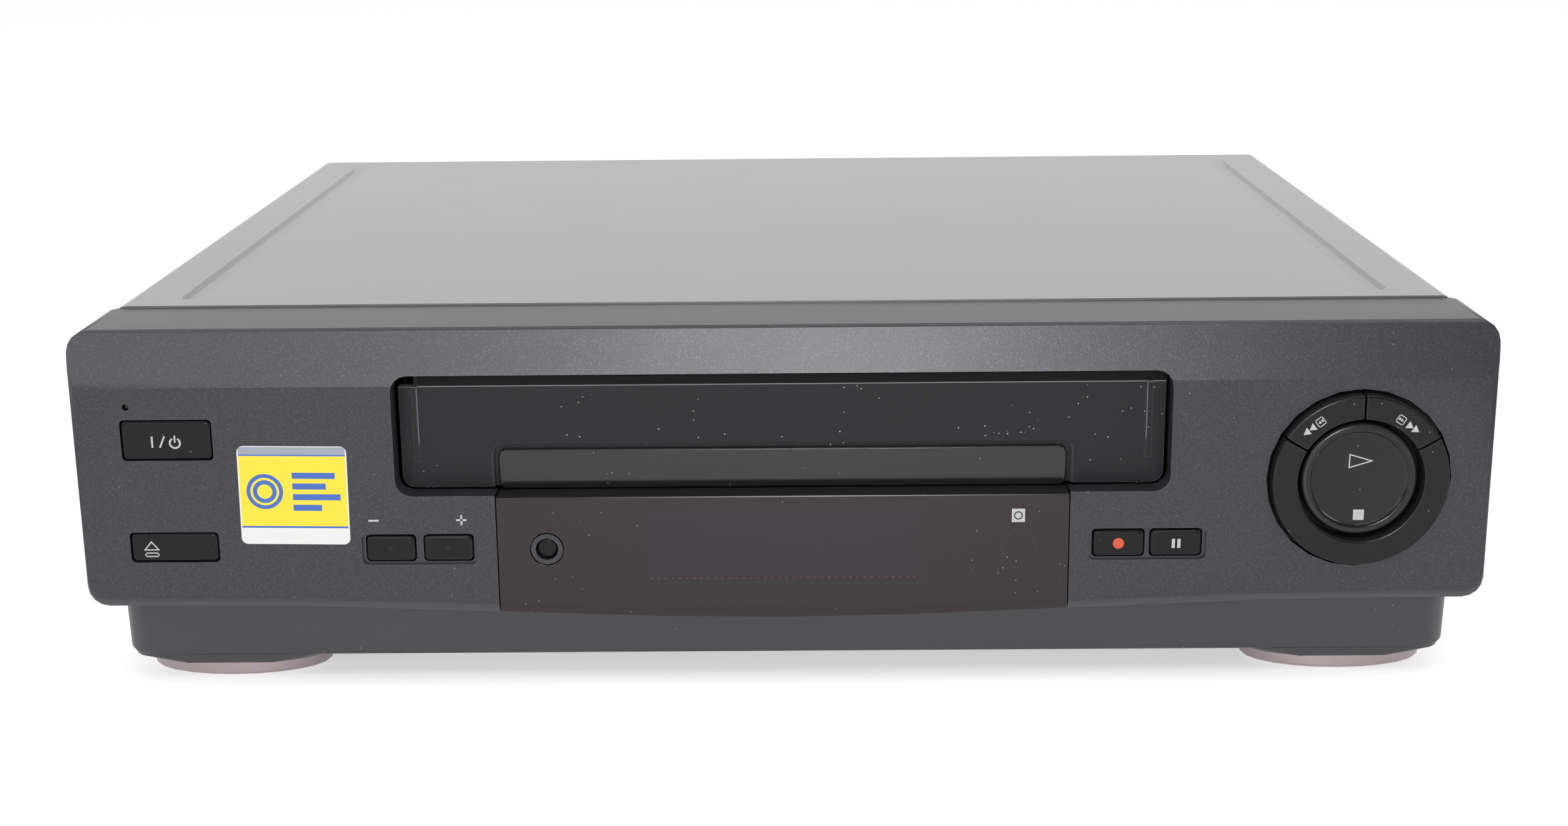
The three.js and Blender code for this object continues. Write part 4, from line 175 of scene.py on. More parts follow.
moulded_grain.links.new(grain_in.outputs["Vector"], grain_fine.inputs["Vector"])
moulded_grain.links.new(grain_in.outputs["Per Metre"], grain_fine.inputs["Scale"])
moulded_grain.links.new(grain_in.outputs["Vector"], grain_wide.inputs["Vector"])
moulded_grain.links.new(grain_fine.outputs["Fac"], grain_bump.inputs["Height"])
moulded_grain.links.new(grain_in.outputs["Strength"], grain_bump.inputs["Strength"])
moulded_grain.links.new(grain_bump.outputs["Normal"], grain_out.inputs["Normal"])
moulded_grain.links.new(grain_wide.outputs["Fac"], grain_out.inputs["Shade"])

dust_specks = bpy.data.node_groups.new("dust_specks", "ShaderNodeTree")
for socket, kind in (
    ("Vector", "NodeSocketVector"),
    ("Per Metre", "NodeSocketFloat"),
    ("Share", "NodeSocketFloat"),
):
    dust_specks.interface.new_socket(socket, in_out="INPUT", socket_type=kind)
dust_specks.interface.new_socket("Mask", in_out="OUTPUT", socket_type="NodeSocketFloat")
dust_in = dust_specks.nodes.new("NodeGroupInput")
dust_out = dust_specks.nodes.new("NodeGroupOutput")
dust_cells = dust_specks.nodes.new("ShaderNodeTexVoronoi")
dust_near = dust_specks.nodes.new("ShaderNodeMath")
dust_near.operation = "LESS_THAN"
dust_near.inputs[1].default_value = 0.15
dust_drift = dust_specks.nodes.new("ShaderNodeTexNoise")
dust_drift.inputs["Scale"].default_value = 55.0
dust_drift.inputs["Detail"].default_value = 2.0
dust_thick = dust_specks.nodes.new("ShaderNodeMapRange")
dust_thick.inputs["From Min"].default_value = 0.45
dust_thick.inputs["From Max"].default_value = 0.68
dust_thick.inputs["To Min"].default_value = 0.15
dust_thick.inputs["To Max"].default_value = 3.0
dust_local = dust_specks.nodes.new("ShaderNodeMath")
dust_local.operation = "MULTIPLY"
dust_pick = dust_specks.nodes.new("ShaderNodeSeparateColor")
dust_few = dust_specks.nodes.new("ShaderNodeMath")
dust_few.operation = "LESS_THAN"
dust_both = dust_specks.nodes.new("ShaderNodeMath")
dust_both.operation = "MULTIPLY"
dust_specks.links.new(dust_in.outputs["Vector"], dust_cells.inputs["Vector"])
dust_specks.links.new(dust_in.outputs["Per Metre"], dust_cells.inputs["Scale"])
dust_specks.links.new(dust_cells.outputs["Distance"], dust_near.inputs[0])
dust_specks.links.new(dust_cells.outputs["Color"], dust_pick.inputs["Color"])
dust_specks.links.new(dust_pick.outputs["Red"], dust_few.inputs[0])
dust_specks.links.new(dust_in.outputs["Vector"], dust_drift.inputs["Vector"])
dust_specks.links.new(dust_drift.outputs["Fac"], dust_thick.inputs["Value"])
dust_specks.links.new(dust_thick.outputs["Result"], dust_local.inputs[0])
dust_specks.links.new(dust_in.outputs["Share"], dust_local.inputs[1])
dust_specks.links.new(dust_local.outputs["Value"], dust_few.inputs[1])
dust_specks.links.new(dust_near.outputs["Value"], dust_both.inputs[0])
dust_specks.links.new(dust_few.outputs["Value"], dust_both.inputs[1])
dust_specks.links.new(dust_both.outputs["Value"], dust_out.inputs["Mask"])


def moulded_finish(
    name, dark, light, roughness, grain_size, grain_depth, dust_share, gloss=0.5, edge_wear_and_highlight=0.02, metallic=0.0,
):
    look = bpy.data.materials.new(name)
    look.use_nodes = True
    nodes = look.node_tree.nodes
    links = look.node_tree.links
    shader = nodes["Principled BSDF"]
    shader.inputs["Specular IOR Level"].default_value = gloss
    shader.inputs["Metallic"].default_value = metallic
    place = nodes.new("ShaderNodeTexCoord")
    grain = nodes.new("ShaderNodeGroup")
    grain.node_tree = moulded_grain
    grain.inputs["Per Metre"].default_value = 1.0 / grain_size
    grain.inputs["Strength"].default_value = grain_depth
    shade = nodes.new("ShaderNodeMix")
    shade.data_type = "RGBA"
    shade.inputs["A"].default_value = (*dark, 1.0)
    shade.inputs["B"].default_value = (*light, 1.0)
    dull = nodes.new("ShaderNodeMapRange")
    dull.inputs["To Min"].default_value = roughness * 0.93
    dull.inputs["To Max"].default_value = roughness * 1.07
    surface = nodes.new("ShaderNodeNewGeometry")
    eased = nodes.new("ShaderNodeBevel")
    eased.samples = 4
    eased.inputs["Radius"].default_value = 0.0004
    turned = nodes.new("ShaderNodeVectorMath")
    turned.operation = "DOT_PRODUCT"
    # The edges found by the bevel normal are lightened: partly rubbed wear, partly a painted highlight
    # along the edges.
    rubbed_and_lit_edge = nodes.new("ShaderNodeMapRange")
    rubbed_and_lit_edge.inputs["From Min"].default_value = 0.99
    rubbed_and_lit_edge.inputs["From Max"].default_value = 0.85
    rubbed_and_lit_edge.inputs["To Max"].default_value = 0.7
    worn_and_highlit = nodes.new("ShaderNodeMix")
    worn_and_highlit.data_type = "RGBA"
    worn_and_highlit.inputs["B"].default_value = tuple(min(1.0, value + edge_wear_and_highlight) for value in light) + (1.0,)
    dust = nodes.new("ShaderNodeGroup")
    dust.node_tree = dust_specks
    dust.inputs["Per Metre"].default_value = 900.0
    dust.inputs["Share"].default_value = dust_share
    dusty = nodes.new("ShaderNodeMix")
    dusty.data_type = "RGBA"
    dusty.name = "dusty"
    dusty.inputs["B"].default_value = (0.2, 0.2, 0.195, 1.0)
    links.new(place.outputs["Object"], grain.inputs["Vector"])
    links.new(place.outputs["Object"], dust.inputs["Vector"])
    links.new(grain.outputs["Shade"], shade.inputs["Factor"])
    links.new(grain.outputs["Shade"], dull.inputs["Value"])
    links.new(dull.outputs["Result"], shader.inputs["Roughness"])
    links.new(eased.outputs["Normal"], turned.inputs[0])
    links.new(surface.outputs["Normal"], turned.inputs[1])
    links.new(turned.outputs["Value"], rubbed_and_lit_edge.inputs["Value"])
    links.new(rubbed_and_lit_edge.outputs["Result"], worn_and_highlit.inputs["Factor"])
    links.new(shade.outputs["Result"], worn_and_highlit.inputs["A"])
    links.new(worn_and_highlit.outputs["Result"], dusty.inputs["A"])
    links.new(dust.outputs["Mask"], dusty.inputs["Factor"])
    links.new(dusty.outputs["Result"], shader.inputs["Base Color"])
    links.new(grain.outputs["Normal"], shader.inputs["Normal"])
    return look


face = -0.141
foremost = face - 0.00295
weld_gap, flat_angle = 0.000004, math.radians(0.5)
sharp_angle, smooth_angle = math.radians(35.0), math.radians(32.0)
face_weight = 80


def edged_copy(
    node, body, look, width, steps=2, rounded=None, rounded_width=0.0, creased=None, moved=None,
):
    source = frame["nodes"][node]
    piece = bpy.data.objects.new(node + "_shell", source.data.copy())
    scene.collection.objects.link(piece)
    piece.data.materials.clear()
    piece.data.materials.append(look)
    bpy.ops.object.select_all(action="DESELECT")
    piece.select_set(True)
    bpy.context.view_layer.objects.active = piece
    bpy.ops.mesh.customdata_custom_splitnormals_clear()
    bpy.ops.object.mode_set(mode="EDIT")
    bpy.ops.mesh.select_all(action="SELECT")
    bpy.ops.mesh.remove_doubles(threshold=weld_gap)
    bpy.ops.mesh.dissolve_limited(angle_limit=flat_angle)
    bpy.ops.mesh.select_all(action="DESELECT")
    bpy.ops.object.mode_set(mode="OBJECT")
    if moved is not None:
        for vertex in piece.data.vertices:
            vertex.co = moved(vertex.co)
    if rounded is not None:
        mesh = piece.data
        for edge in mesh.edges:
            first, second = (mesh.vertices[i].co for i in edge.vertices)
            edge.select = rounded(first) and rounded(second)
        for vertex in mesh.vertices:
            vertex.select = rounded(vertex.co)
        bpy.context.tool_settings.mesh_select_mode = (False, True, False)
        bpy.ops.object.mode_set(mode="EDIT")
        bpy.ops.mesh.bevel(offset=rounded_width, segments=4, affect="EDGES", clamp_overlap=True)
        bpy.ops.object.mode_set(mode="OBJECT")
    soft = piece.modifiers.new("soft_edges", "BEVEL")
    soft.width = width
    soft.segments = steps
    soft.limit_method = "ANGLE"
    soft.angle_limit = sharp_angle
    soft.use_clamp_overlap = True
    bpy.ops.object.modifier_apply(modifier=soft.name)
    for vertex in piece.data.vertices:
        vertex.co.y = max(vertex.co.y, foremost)
    bpy.ops.object.shade_smooth_by_angle(angle=smooth_angle)
    if creased is not None:
        for edge in piece.data.edges:
            if all(creased(piece.data.vertices[i].co) for i in edge.vertices):
                edge.use_edge_sharp = True
    even = piece.modifiers.new("even_shading", "WEIGHTED_NORMAL")
    even.keep_sharp = True
    even.weight = face_weight
    bpy.ops.object.modifier_apply(modifier=even.name)
    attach(piece, body)
    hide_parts(node)


panel_finish = moulded_finish(
    "charcoal_fleck_plastic", (0.016, 0.016, 0.0205), (0.022, 0.022, 0.0275), roughness=0.32,
    grain_size=0.0003, grain_depth=0.1, dust_share=0.006,
)


def place_axes(finish):
    nodes, links = finish.node_tree.nodes, finish.node_tree.links
    place = nodes.new("ShaderNodeTexCoord")
    axes = nodes.new("ShaderNodeSeparateXYZ")
    links.new(place.outputs["Object"], axes.inputs["Vector"])
    return axes.outputs


def band_mask(finish, value, middle, half, soft):
    nodes, links = finish.node_tree.nodes, finish.node_tree.links
    away = nodes.new("ShaderNodeMath")
    away.operation = "SUBTRACT"
    away.inputs[1].default_value = middle
    size = nodes.new("ShaderNodeMath")
    size.operation = "ABSOLUTE"
    inside = nodes.new("ShaderNodeMapRange")
    inside.inputs["From Min"].default_value = half - soft
    inside.inputs["From Max"].default_value = half + soft
    inside.inputs["To Min"].default_value = 1.0
    inside.inputs["To Max"].default_value = 0.0
    links.new(value, away.inputs[0])
    links.new(away.outputs["Value"], size.inputs[0])
    links.new(size.outputs["Value"], inside.inputs["Value"])
    return inside.outputs["Result"]


def both_masks(finish, first, second):
    both = finish.node_tree.nodes.new("ShaderNodeMath")
    both.operation = "MULTIPLY"
    finish.node_tree.links.new(first, both.inputs[0])
    finish.node_tree.links.new(second, both.inputs[1])
    return both.outputs["Value"]


def round_distance(finish, vector, x, z):
    nodes, links = finish.node_tree.nodes, finish.node_tree.links
    flat = nodes.new("ShaderNodeVectorMath")
    flat.operation = "MULTIPLY"
    flat.inputs[1].default_value = (1.0, 0.0, 1.0)
    distance = nodes.new("ShaderNodeVectorMath")
    distance.operation = "DISTANCE"
    distance.inputs[1].default_value = (x, 0.0, z)
    links.new(vector, flat.inputs[0])
    links.new(flat.outputs["Vector"], distance.inputs[0])
    return distance.outputs["Value"]


def paint_over(finish, mask, colour):
    nodes, links = finish.node_tree.nodes, finish.node_tree.links
    target = nodes["Principled BSDF"].inputs["Base Color"]
    paint = nodes.new("ShaderNodeMix")
    paint.data_type = "RGBA"
    paint.inputs["B"].default_value = (*colour, 1.0)
    links.new(mask, paint.inputs["Factor"])
    links.new(target.links[0].from_socket, paint.inputs["A"])
    links.new(paint.outputs["Result"], target)


def dull_over(finish, mask, roughness):
    nodes, links = finish.node_tree.nodes, finish.node_tree.links
    target = nodes["Principled BSDF"].inputs["Roughness"]
    dulled = nodes.new("ShaderNodeMath")
    dulled.operation = "MULTIPLY"
    dulled.inputs[1].default_value = roughness
    most = nodes.new("ShaderNodeMath")
    most.operation = "MAXIMUM"
    links.new(mask, dulled.inputs[0])
    links.new(dulled.outputs["Value"], most.inputs[0])
    links.new(target.links[0].from_socket, most.inputs[1])
    links.new(most.outputs["Value"], target)


panel_nodes, panel_links = panel_finish.node_tree.nodes, panel_finish.node_tree.links
panel_place = panel_nodes.new("ShaderNodeTexCoord")
fleck_cells = panel_nodes.new("ShaderNodeTexVoronoi")
fleck_cells.inputs["Scale"].default_value = 4200.0
fleck_value = panel_nodes.new("ShaderNodeSeparateColor")
fleck_bright = panel_nodes.new("ShaderNodeMapRange")
fleck_bright.inputs["From Min"].default_value = 0.84
fleck_bright.inputs["To Max"].default_value = 0.55
panel_links.new(panel_place.outputs["Object"], fleck_cells.inputs["Vector"])
panel_links.new(fleck_cells.outputs["Color"], fleck_value.inputs["Color"])
panel_links.new(fleck_value.outputs["Green"], fleck_bright.inputs["Value"])
paint_over(panel_finish, fleck_bright.outputs["Result"], (0.112, 0.116, 0.145))
panel_links.new(fleck_bright.outputs["Result"], panel_nodes["Principled BSDF"].inputs["Metallic"])


def facing_mask(finish, axis, start, end):
    nodes, links = finish.node_tree.nodes, finish.node_tree.links
    surface = nodes.new("ShaderNodeNewGeometry")
    facing = nodes.new("ShaderNodeSeparateXYZ")
    turned = nodes.new("ShaderNodeMapRange")
    turned.inputs["From Min"].default_value = start
    turned.inputs["From Max"].default_value = end
    links.new(surface.outputs["Normal"], facing.inputs["Vector"])
    links.new(facing.outputs[axis], turned.inputs["Value"])
    return turned.outputs["Result"]


panel_axes = place_axes(panel_finish)
# Painted reflection: the lowest strip of the face, which turns down towards the bright table, is painted
# lighter.
under_edge_painted_reflection = both_masks(
    panel_finish, facing_mask(panel_finish, "Z", start=-0.12, end=-0.55),
    band_mask(panel_finish, panel_axes["Z"], middle=0.015, half=0.01, soft=0.001),
)
paint_over(panel_finish, under_edge_painted_reflection, (0.075, 0.075, 0.083))
dial_x, dial_z, cup_radius, cup_soft = 0.144, 0.055, 0.0227, 0.0001
# Painted shade: the dial's cup is painted near black and made dull, for the shade in the recess round the
# dial.
cup_painted_shade = band_mask(
    panel_finish, round_distance(panel_finish, panel_place.outputs["Object"], x=dial_x, z=dial_z),
    middle=0.0, half=cup_radius, soft=cup_soft,
)
paint_over(panel_finish, cup_painted_shade, (0.004, 0.004, 0.005))
dull_over(panel_finish, cup_painted_shade, roughness=0.7)

doorway_half, doorway_low, doorway_high, doorway_corner = 0.0971, 0.052, 0.0829, 0.0042
band_crease, edge_gap, front_gap = 0.0805, 0.0002, 0.0012


def on_doorway_edge(point):
    within_width = abs(point.x) < doorway_half + edge_gap
    within_height = doorway_low - edge_gap < point.z < doorway_high + edge_gap
    outline = (
        abs(point.x) > doorway_half - doorway_corner
        or point.z > doorway_high - 0.0003
        or point.z < doorway_low + 0.0003
    )
    return within_width and within_height and outline and point.y < face + front_gap


def on_band_crease(point):
    return abs(point.z - band_crease) < edge_gap


edged_copy(
    "front_panel", "recorder", panel_finish, width=0.0003,
    rounded=on_doorway_edge, rounded_width=0.0011, creased=on_band_crease,
)

# Printed symbols on the face
# Small signs in pale grey print: minus and plus over the two program keys. Each is a film of ink
# a few hundredths of a millimetre thick, printed on the moulded face.
ink_look = moulded_finish(
    "pale_ink", (0.42, 0.42, 0.42), (0.5, 0.5, 0.5), roughness=0.5, grain_size=0.0003, grain_depth=0.05,
    dust_share=0.0,
)
ink_film = 0.00004


def start_prints():
    bpy.ops.object.select_all(action="DESELECT")
    return []


def print_bar(prints, x, z, width, height, y, turn=0.0):
    bpy.ops.mesh.primitive_plane_add(size=1.0, location=(x, y, z), rotation=(math.pi / 2, turn, 0.0))
    bar = bpy.context.active_object
    bar.scale = (width, height, 1.0)
    prints.append(bar)


def print_disc(prints, x, z, radius, y):
    bpy.ops.mesh.primitive_circle_add(
        vertices=32, radius=radius, fill_type="NGON", location=(x, y, z), rotation=(math.pi / 2, 0.0, 0.0),
    )
    prints.append(bpy.context.active_object)


def print_ring(prints, x, z, outer, inner, y, gap_from=0.0, gap_to=0.0, corners=48):
    bpy.ops.mesh.primitive_circle_add(
        vertices=corners, radius=outer, fill_type="NGON", location=(x, y, z),
        rotation=(math.pi / 2, 0.0, 0.0),
    )
    ring = bpy.context.active_object
    bpy.ops.object.mode_set(mode="EDIT")
    bpy.ops.mesh.select_all(action="SELECT")
    bpy.ops.mesh.inset(thickness=outer - inner)
    bpy.ops.mesh.delete(type="FACE")
    bpy.ops.object.mode_set(mode="OBJECT")
    if gap_to > gap_from:
        for polygon in ring.data.polygons:
            angle = math.degrees(math.atan2(polygon.center.y, polygon.center.x)) % 360.0
            polygon.select = gap_from < angle < gap_to
        bpy.context.tool_settings.mesh_select_mode = (False, False, True)
        bpy.ops.object.mode_set(mode="EDIT")
        bpy.ops.mesh.delete(type="FACE")
        bpy.ops.object.mode_set(mode="OBJECT")
    prints.append(ring)


def finish_prints(prints, name, body, look, film=ink_film):
    bpy.ops.object.select_all(action="DESELECT")
    for piece in prints:
        piece.select_set(True)
    bpy.context.view_layer.objects.active = prints[0]
    if len(prints) > 1:
        bpy.ops.object.join()
    whole = bpy.context.active_object
    whole.name = name
    bpy.ops.object.transform_apply(location=True, rotation=True, scale=True)
    bpy.ops.object.mode_set(mode="EDIT")
    bpy.ops.mesh.select_all(action="SELECT")
    bpy.ops.mesh.extrude_region_move(TRANSFORM_OT_translate={"value": (0.0, -film, 0.0)})
    bpy.ops.mesh.select_all(action="SELECT")
    bpy.ops.mesh.normals_make_consistent(inside=False)
    bpy.ops.object.mode_set(mode="OBJECT")
    whole.data.materials.clear()
    whole.data.materials.append(look)
    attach(whole, body)
    return whole


signs = start_prints()
minus_x, plus_x, sign_z, sign_long, sign_line = -0.10307, -0.0809, 0.0457, 0.0026, 0.0005
print_bar(signs, x=minus_x, z=sign_z, width=sign_long, height=sign_line, y=face)
print_bar(signs, x=plus_x, z=sign_z, width=sign_long, height=sign_line, y=face)
print_bar(signs, x=plus_x, z=sign_z, width=sign_line, height=sign_long, y=face)
finish_prints(signs, "program_signs", "recorder", ink_look)

# Cassette door
# The door is moulded in the same charcoal plastic, a shade plainer than the housing. A glossy
# smoked strip is glued in its lower notch, and a thin rib stands at each end.
door_finish = moulded_finish(
    "charcoal_door_plastic", (0.008, 0.008, 0.010), (0.011, 0.011, 0.014), roughness=0.42,
    grain_size=0.0003, grain_depth=0.1, dust_share=0.08, gloss=0.27, edge_wear_and_highlight=0.09,
)
door_finish.node_tree.nodes["dusty"].inputs["B"].default_value = (0.42, 0.42, 0.41, 1.0)
notch_half, notch_top, door_crease, door_face = 0.0729, 0.0631, 0.0787, face + 0.007


def on_notch_edge(point):
    within_notch = point.z < notch_top + edge_gap and abs(point.x) < notch_half + edge_gap
    return within_notch and abs(point.y - door_face) < edge_gap / 2.0


def on_door_crease(point):
    return abs(point.z - door_crease) < edge_gap


door_axes = place_axes(door_finish)
notch_foot, notch_round = 0.05, 0.0012
# Painted highlight: the rounded shoulder round the strip's notch is painted lighter.
notch_shoulder_painted_highlight = both_masks(
    door_finish,
    both_masks(
        door_finish,
        band_mask(door_finish, door_axes["X"], middle=0.0, half=notch_half + notch_round, soft=0.0002),
        band_mask(
            door_finish, door_axes["Z"], middle=notch_foot, half=notch_top - notch_foot + notch_round,
            soft=0.0002,
        ),
    ),
    band_mask(door_finish, door_axes["Y"], middle=door_face + 0.0007, half=0.00062, soft=0.00005),
)
paint_over(door_finish, notch_shoulder_painted_highlight, (0.045, 0.045, 0.051))
# Painted shadow: the door's top above its crease, which leans back under the doorway's edge, is painted
# near black and made dull.
doorway_painted_shadow = band_mask(door_finish, door_axes["Z"], middle=door_crease + 0.01, half=0.01, soft=0.00005)
paint_over(door_finish, doorway_painted_shadow, (0.004, 0.004, 0.0045))
dull_over(door_finish, doorway_painted_shadow, roughness=0.8)
# Painted highlight: a fine pale line along the door's crease.
paint_over(
    door_finish, band_mask(door_finish, door_axes["Z"], middle=door_crease, half=0.00013, soft=0.00004),
    (0.2, 0.2, 0.21),
)
# Painted highlight: a fine pale line along each rib.
rib_from_middle = door_finish.node_tree.nodes.new("ShaderNodeMath")
rib_from_middle.operation = "ABSOLUTE"
door_finish.node_tree.links.new(door_axes["X"], rib_from_middle.inputs[0])
rib_painted_highlight = both_masks(
    door_finish,
    band_mask(door_finish, rib_from_middle.outputs["Value"], middle=0.0917, half=0.00014, soft=0.00006),
    band_mask(door_finish, door_axes["Z"], middle=0.0712, half=0.0072, soft=0.0008),
)
paint_over(door_finish, rib_painted_highlight, (0.13, 0.13, 0.14))
edged_copy(
    "cassette_door", "door", door_finish, width=0.00025,
    rounded=on_notch_edge, rounded_width=0.0011, creased=on_door_crease,
)
strip_finish = moulded_finish(
    "smoked_strip", (0.011, 0.010, 0.011), (0.014, 0.013, 0.014), roughness=0.12, grain_size=0.004,
    grain_depth=0.02, dust_share=0.03, gloss=0.45,
)
edged_copy("door_insert", "door", strip_finish, width=0.00012)

# Display window
# One smoked pane closes the middle of the face, down to its curved lower edge. The display tube
# behind it shows through as a faint purple field with a row of fine dots along its foot.
pane_finish = moulded_finish(
    "smoked_pane", (0.013, 0.006, 0.007), (0.016, 0.008, 0.009), roughness=0.08, grain_size=0.004,
    grain_depth=0.01, dust_share=0.03, gloss=0.4,
)
pane_nodes, pane_links = pane_finish.node_tree.nodes, pane_finish.node_tree.links
pane_axes = place_axes(pane_finish)
display_field = both_masks(
    pane_finish,
    band_mask(pane_finish, pane_axes["X"], middle=0.0, half=0.035, soft=0.0015),
    band_mask(pane_finish, pane_axes["Z"], middle=0.0385, half=0.0095, soft=0.001),
)
paint_over(pane_finish, display_field, (0.017, 0.006, 0.012))
dot_pitch, dot_start = 0.0009, 0.00058
dot_wave = pane_nodes.new("ShaderNodeMath")
dot_wave.operation = "PINGPONG"
dot_wave.inputs[1].default_value = dot_pitch
pane_links.new(pane_axes["X"], dot_wave.inputs[0])
dot_on = pane_nodes.new("ShaderNodeMath")
dot_on.operation = "GREATER_THAN"
dot_on.inputs[1].default_value = dot_start
pane_links.new(dot_wave.outputs["Value"], dot_on.inputs[0])
dot_row = both_masks(
    pane_finish,
    band_mask(pane_finish, pane_axes["X"], middle=0.0, half=0.035, soft=0.0002),
    band_mask(pane_finish, pane_axes["Z"], middle=0.0298, half=0.0002, soft=0.00008),
)
paint_over(pane_finish, both_masks(pane_finish, dot_on.outputs["Value"], dot_row), (0.075, 0.02, 0.05))
# Painted shade: the pane's top edge under the door is painted near black and made dull, for the shaded
# ledge there.
pane_top_painted_shade = band_mask(pane_finish, pane_axes["Z"], middle=0.0524, half=0.001, soft=0.00004)
paint_over(pane_finish, pane_top_painted_shade, (0.002, 0.002, 0.002))
dull_over(pane_finish, pane_top_painted_shade, roughness=0.85)
# Painted highlight: a fine pale line just under the pane's dark top, brightest in the middle and fading
# towards the ends.
pane_edge_painted_highlight = both_masks(
    pane_finish,
    band_mask(pane_finish, pane_axes["X"], middle=0.01, half=0.03, soft=0.03),
    band_mask(pane_finish, pane_axes["Z"], middle=0.05132, half=0.00012, soft=0.00004),
)
paint_over(pane_finish, pane_edge_painted_highlight, (0.3, 0.28, 0.28))
edged_copy("display_window", "recorder", pane_finish, width=0.00015)

sensor_signs = start_prints()
print_ring(sensor_signs, x=0.0594, z=0.0379, outer=0.0044, inner=0.0042, y=face)
finish_prints(sensor_signs, "sensor_ring", "recorder", strip_finish)
sensor_square = start_prints()
print_bar(sensor_square, x=0.0593, z=0.0459, width=0.0033, height=0.0035, y=face)
finish_prints(sensor_square, "sensor_square", "recorder", ink_look)
sensor_mark = start_prints()
print_ring(sensor_mark, x=0.0593, z=0.0459, outer=0.0011, inner=0.0008, y=face - ink_film, corners=24)
finish_prints(sensor_mark, "sensor_square_ring", "recorder", strip_finish)

# Push buttons
# Six glossy black keys stand flush in their holes, with pale printed signs: the standby sign, the
# eject triangle, the orange-red record dot and the pause bars. The small round set-up button
# stands in the window, and each key springs back by itself.
key_finish = moulded_finish(
    "black_key_plastic", (0.003, 0.003, 0.004), (0.005, 0.005, 0.006), roughness=0.18, grain_size=0.0006,
    grain_depth=0.05, dust_share=0.04, gloss=0.22, edge_wear_and_highlight=0.06,
)
# Painted highlight: the keys' bevels and sides, which turn away from the front, are painted lighter.
paint_over(key_finish, facing_mask(key_finish, "Y", start=-0.96, end=-0.6), (0.02, 0.02, 0.022))
key_edge, key_steps = 0.00035, 3
for key in ("power", "eject", "program_down", "program_up", "record", "pause", "setup"):
    edged_copy(key + "_button", key + "_key", key_finish, width=key_edge, steps=key_steps)


def print_triangle(prints, x, z, length, height, y, turn=0.0, line=0.0):
    bpy.ops.mesh.primitive_circle_add(vertices=3, radius=1.0, fill_type="NGON")
    sign = bpy.context.active_object
    corners = ((length / 2.0, 0.0), (-length / 2.0, height / 2.0), (-length / 2.0, -height / 2.0))
    for vertex, (along, across) in zip(sign.data.vertices, corners):
        vertex.co = (
            x + along * math.cos(turn) - across * math.sin(turn), y,
            z + along * math.sin(turn) + across * math.cos(turn),
        )
    if line > 0.0:
        bpy.ops.object.mode_set(mode="EDIT")
        bpy.ops.mesh.select_all(action="SELECT")
        bpy.ops.mesh.inset(thickness=line)
        bpy.ops.mesh.delete(type="FACE")
        bpy.ops.object.mode_set(mode="OBJECT")
    prints.append(sign)


standby = start_prints()
print_bar(standby, x=-0.1573, z=0.0667, width=0.00045, height=0.0029, y=face)
print_bar(standby, x=-0.1548, z=0.0667, width=0.00042, height=0.0032, y=face, turn=math.radians(24.0))
print_ring(standby, x=-0.1516, z=0.0664, outer=0.0015, inner=0.00105, y=face, gap_from=58.0, gap_to=122.0)
print_bar(standby, x=-0.1516, z=0.0674, width=0.00042, height=0.0018, y=face)
finish_prints(standby, "standby_sign", "power_key", ink_look)
eject = start_prints()
eject_x, eject_line, eject_foot = -0.1597, 0.0003, 0.0371
print_triangle(
    eject, x=eject_x, z=0.0395, length=0.0025, height=0.0041, y=face, turn=math.pi / 2.0, line=eject_line,
)
for side in (-1.0, 1.0):
    print_bar(eject, x=eject_x, z=eject_foot + side * 0.00045, width=0.0036, height=eject_line, y=face)
    print_bar(eject, x=eject_x + side * 0.00165, z=eject_foot, width=eject_line, height=0.0012, y=face)
finish_prints(eject, "eject_sign", "eject_key", ink_look)
pause = start_prints()
print_bar(pause, x=0.0984, z=0.0382, width=0.0008, height=0.0024, y=face)
print_bar(pause, x=0.0998, z=0.0382, width=0.0008, height=0.0024, y=face)
finish_prints(pause, "pause_sign", "pause_key", ink_look)
record_ink = moulded_finish(
    "record_red_ink", (0.62, 0.07, 0.03), (0.68, 0.09, 0.04), roughness=0.4, grain_size=0.0004,
    grain_depth=0.05, dust_share=0.0,
)
record_dot = start_prints()
print_disc(record_dot, x=0.0846, z=0.0383, radius=0.0014, y=face)
finish_prints(record_dot, "record_sign", "record_key", record_ink)

# Transport dial
# A ring of satin keys stands in the round cup: rewind and forward at its top, and a fixed arc
# below. In the middle the dished play and stop rocker tilts on its ridge, and its signs are printed.
dial_finish = moulded_finish(
    "black_dial_plastic", (0.003, 0.003, 0.004), (0.005, 0.005, 0.006), roughness=0.22, grain_size=0.0005,
    grain_depth=0.06, dust_share=0.05, gloss=0.27, edge_wear_and_highlight=0.07,
)
# Painted highlight: the dial keys' bevels and sides, which turn away from the front, are painted lighter.
paint_over(dial_finish, facing_mask(dial_finish, "Y", start=-0.96, end=-0.6), (0.017, 0.017, 0.019))
for node, body in (
    ("transport_ring", "recorder"), ("rewind_key", "rewind"), ("fast_forward_key", "fast_forward"),
):
    edged_copy(node, body, dial_finish, width=key_edge, steps=key_steps)

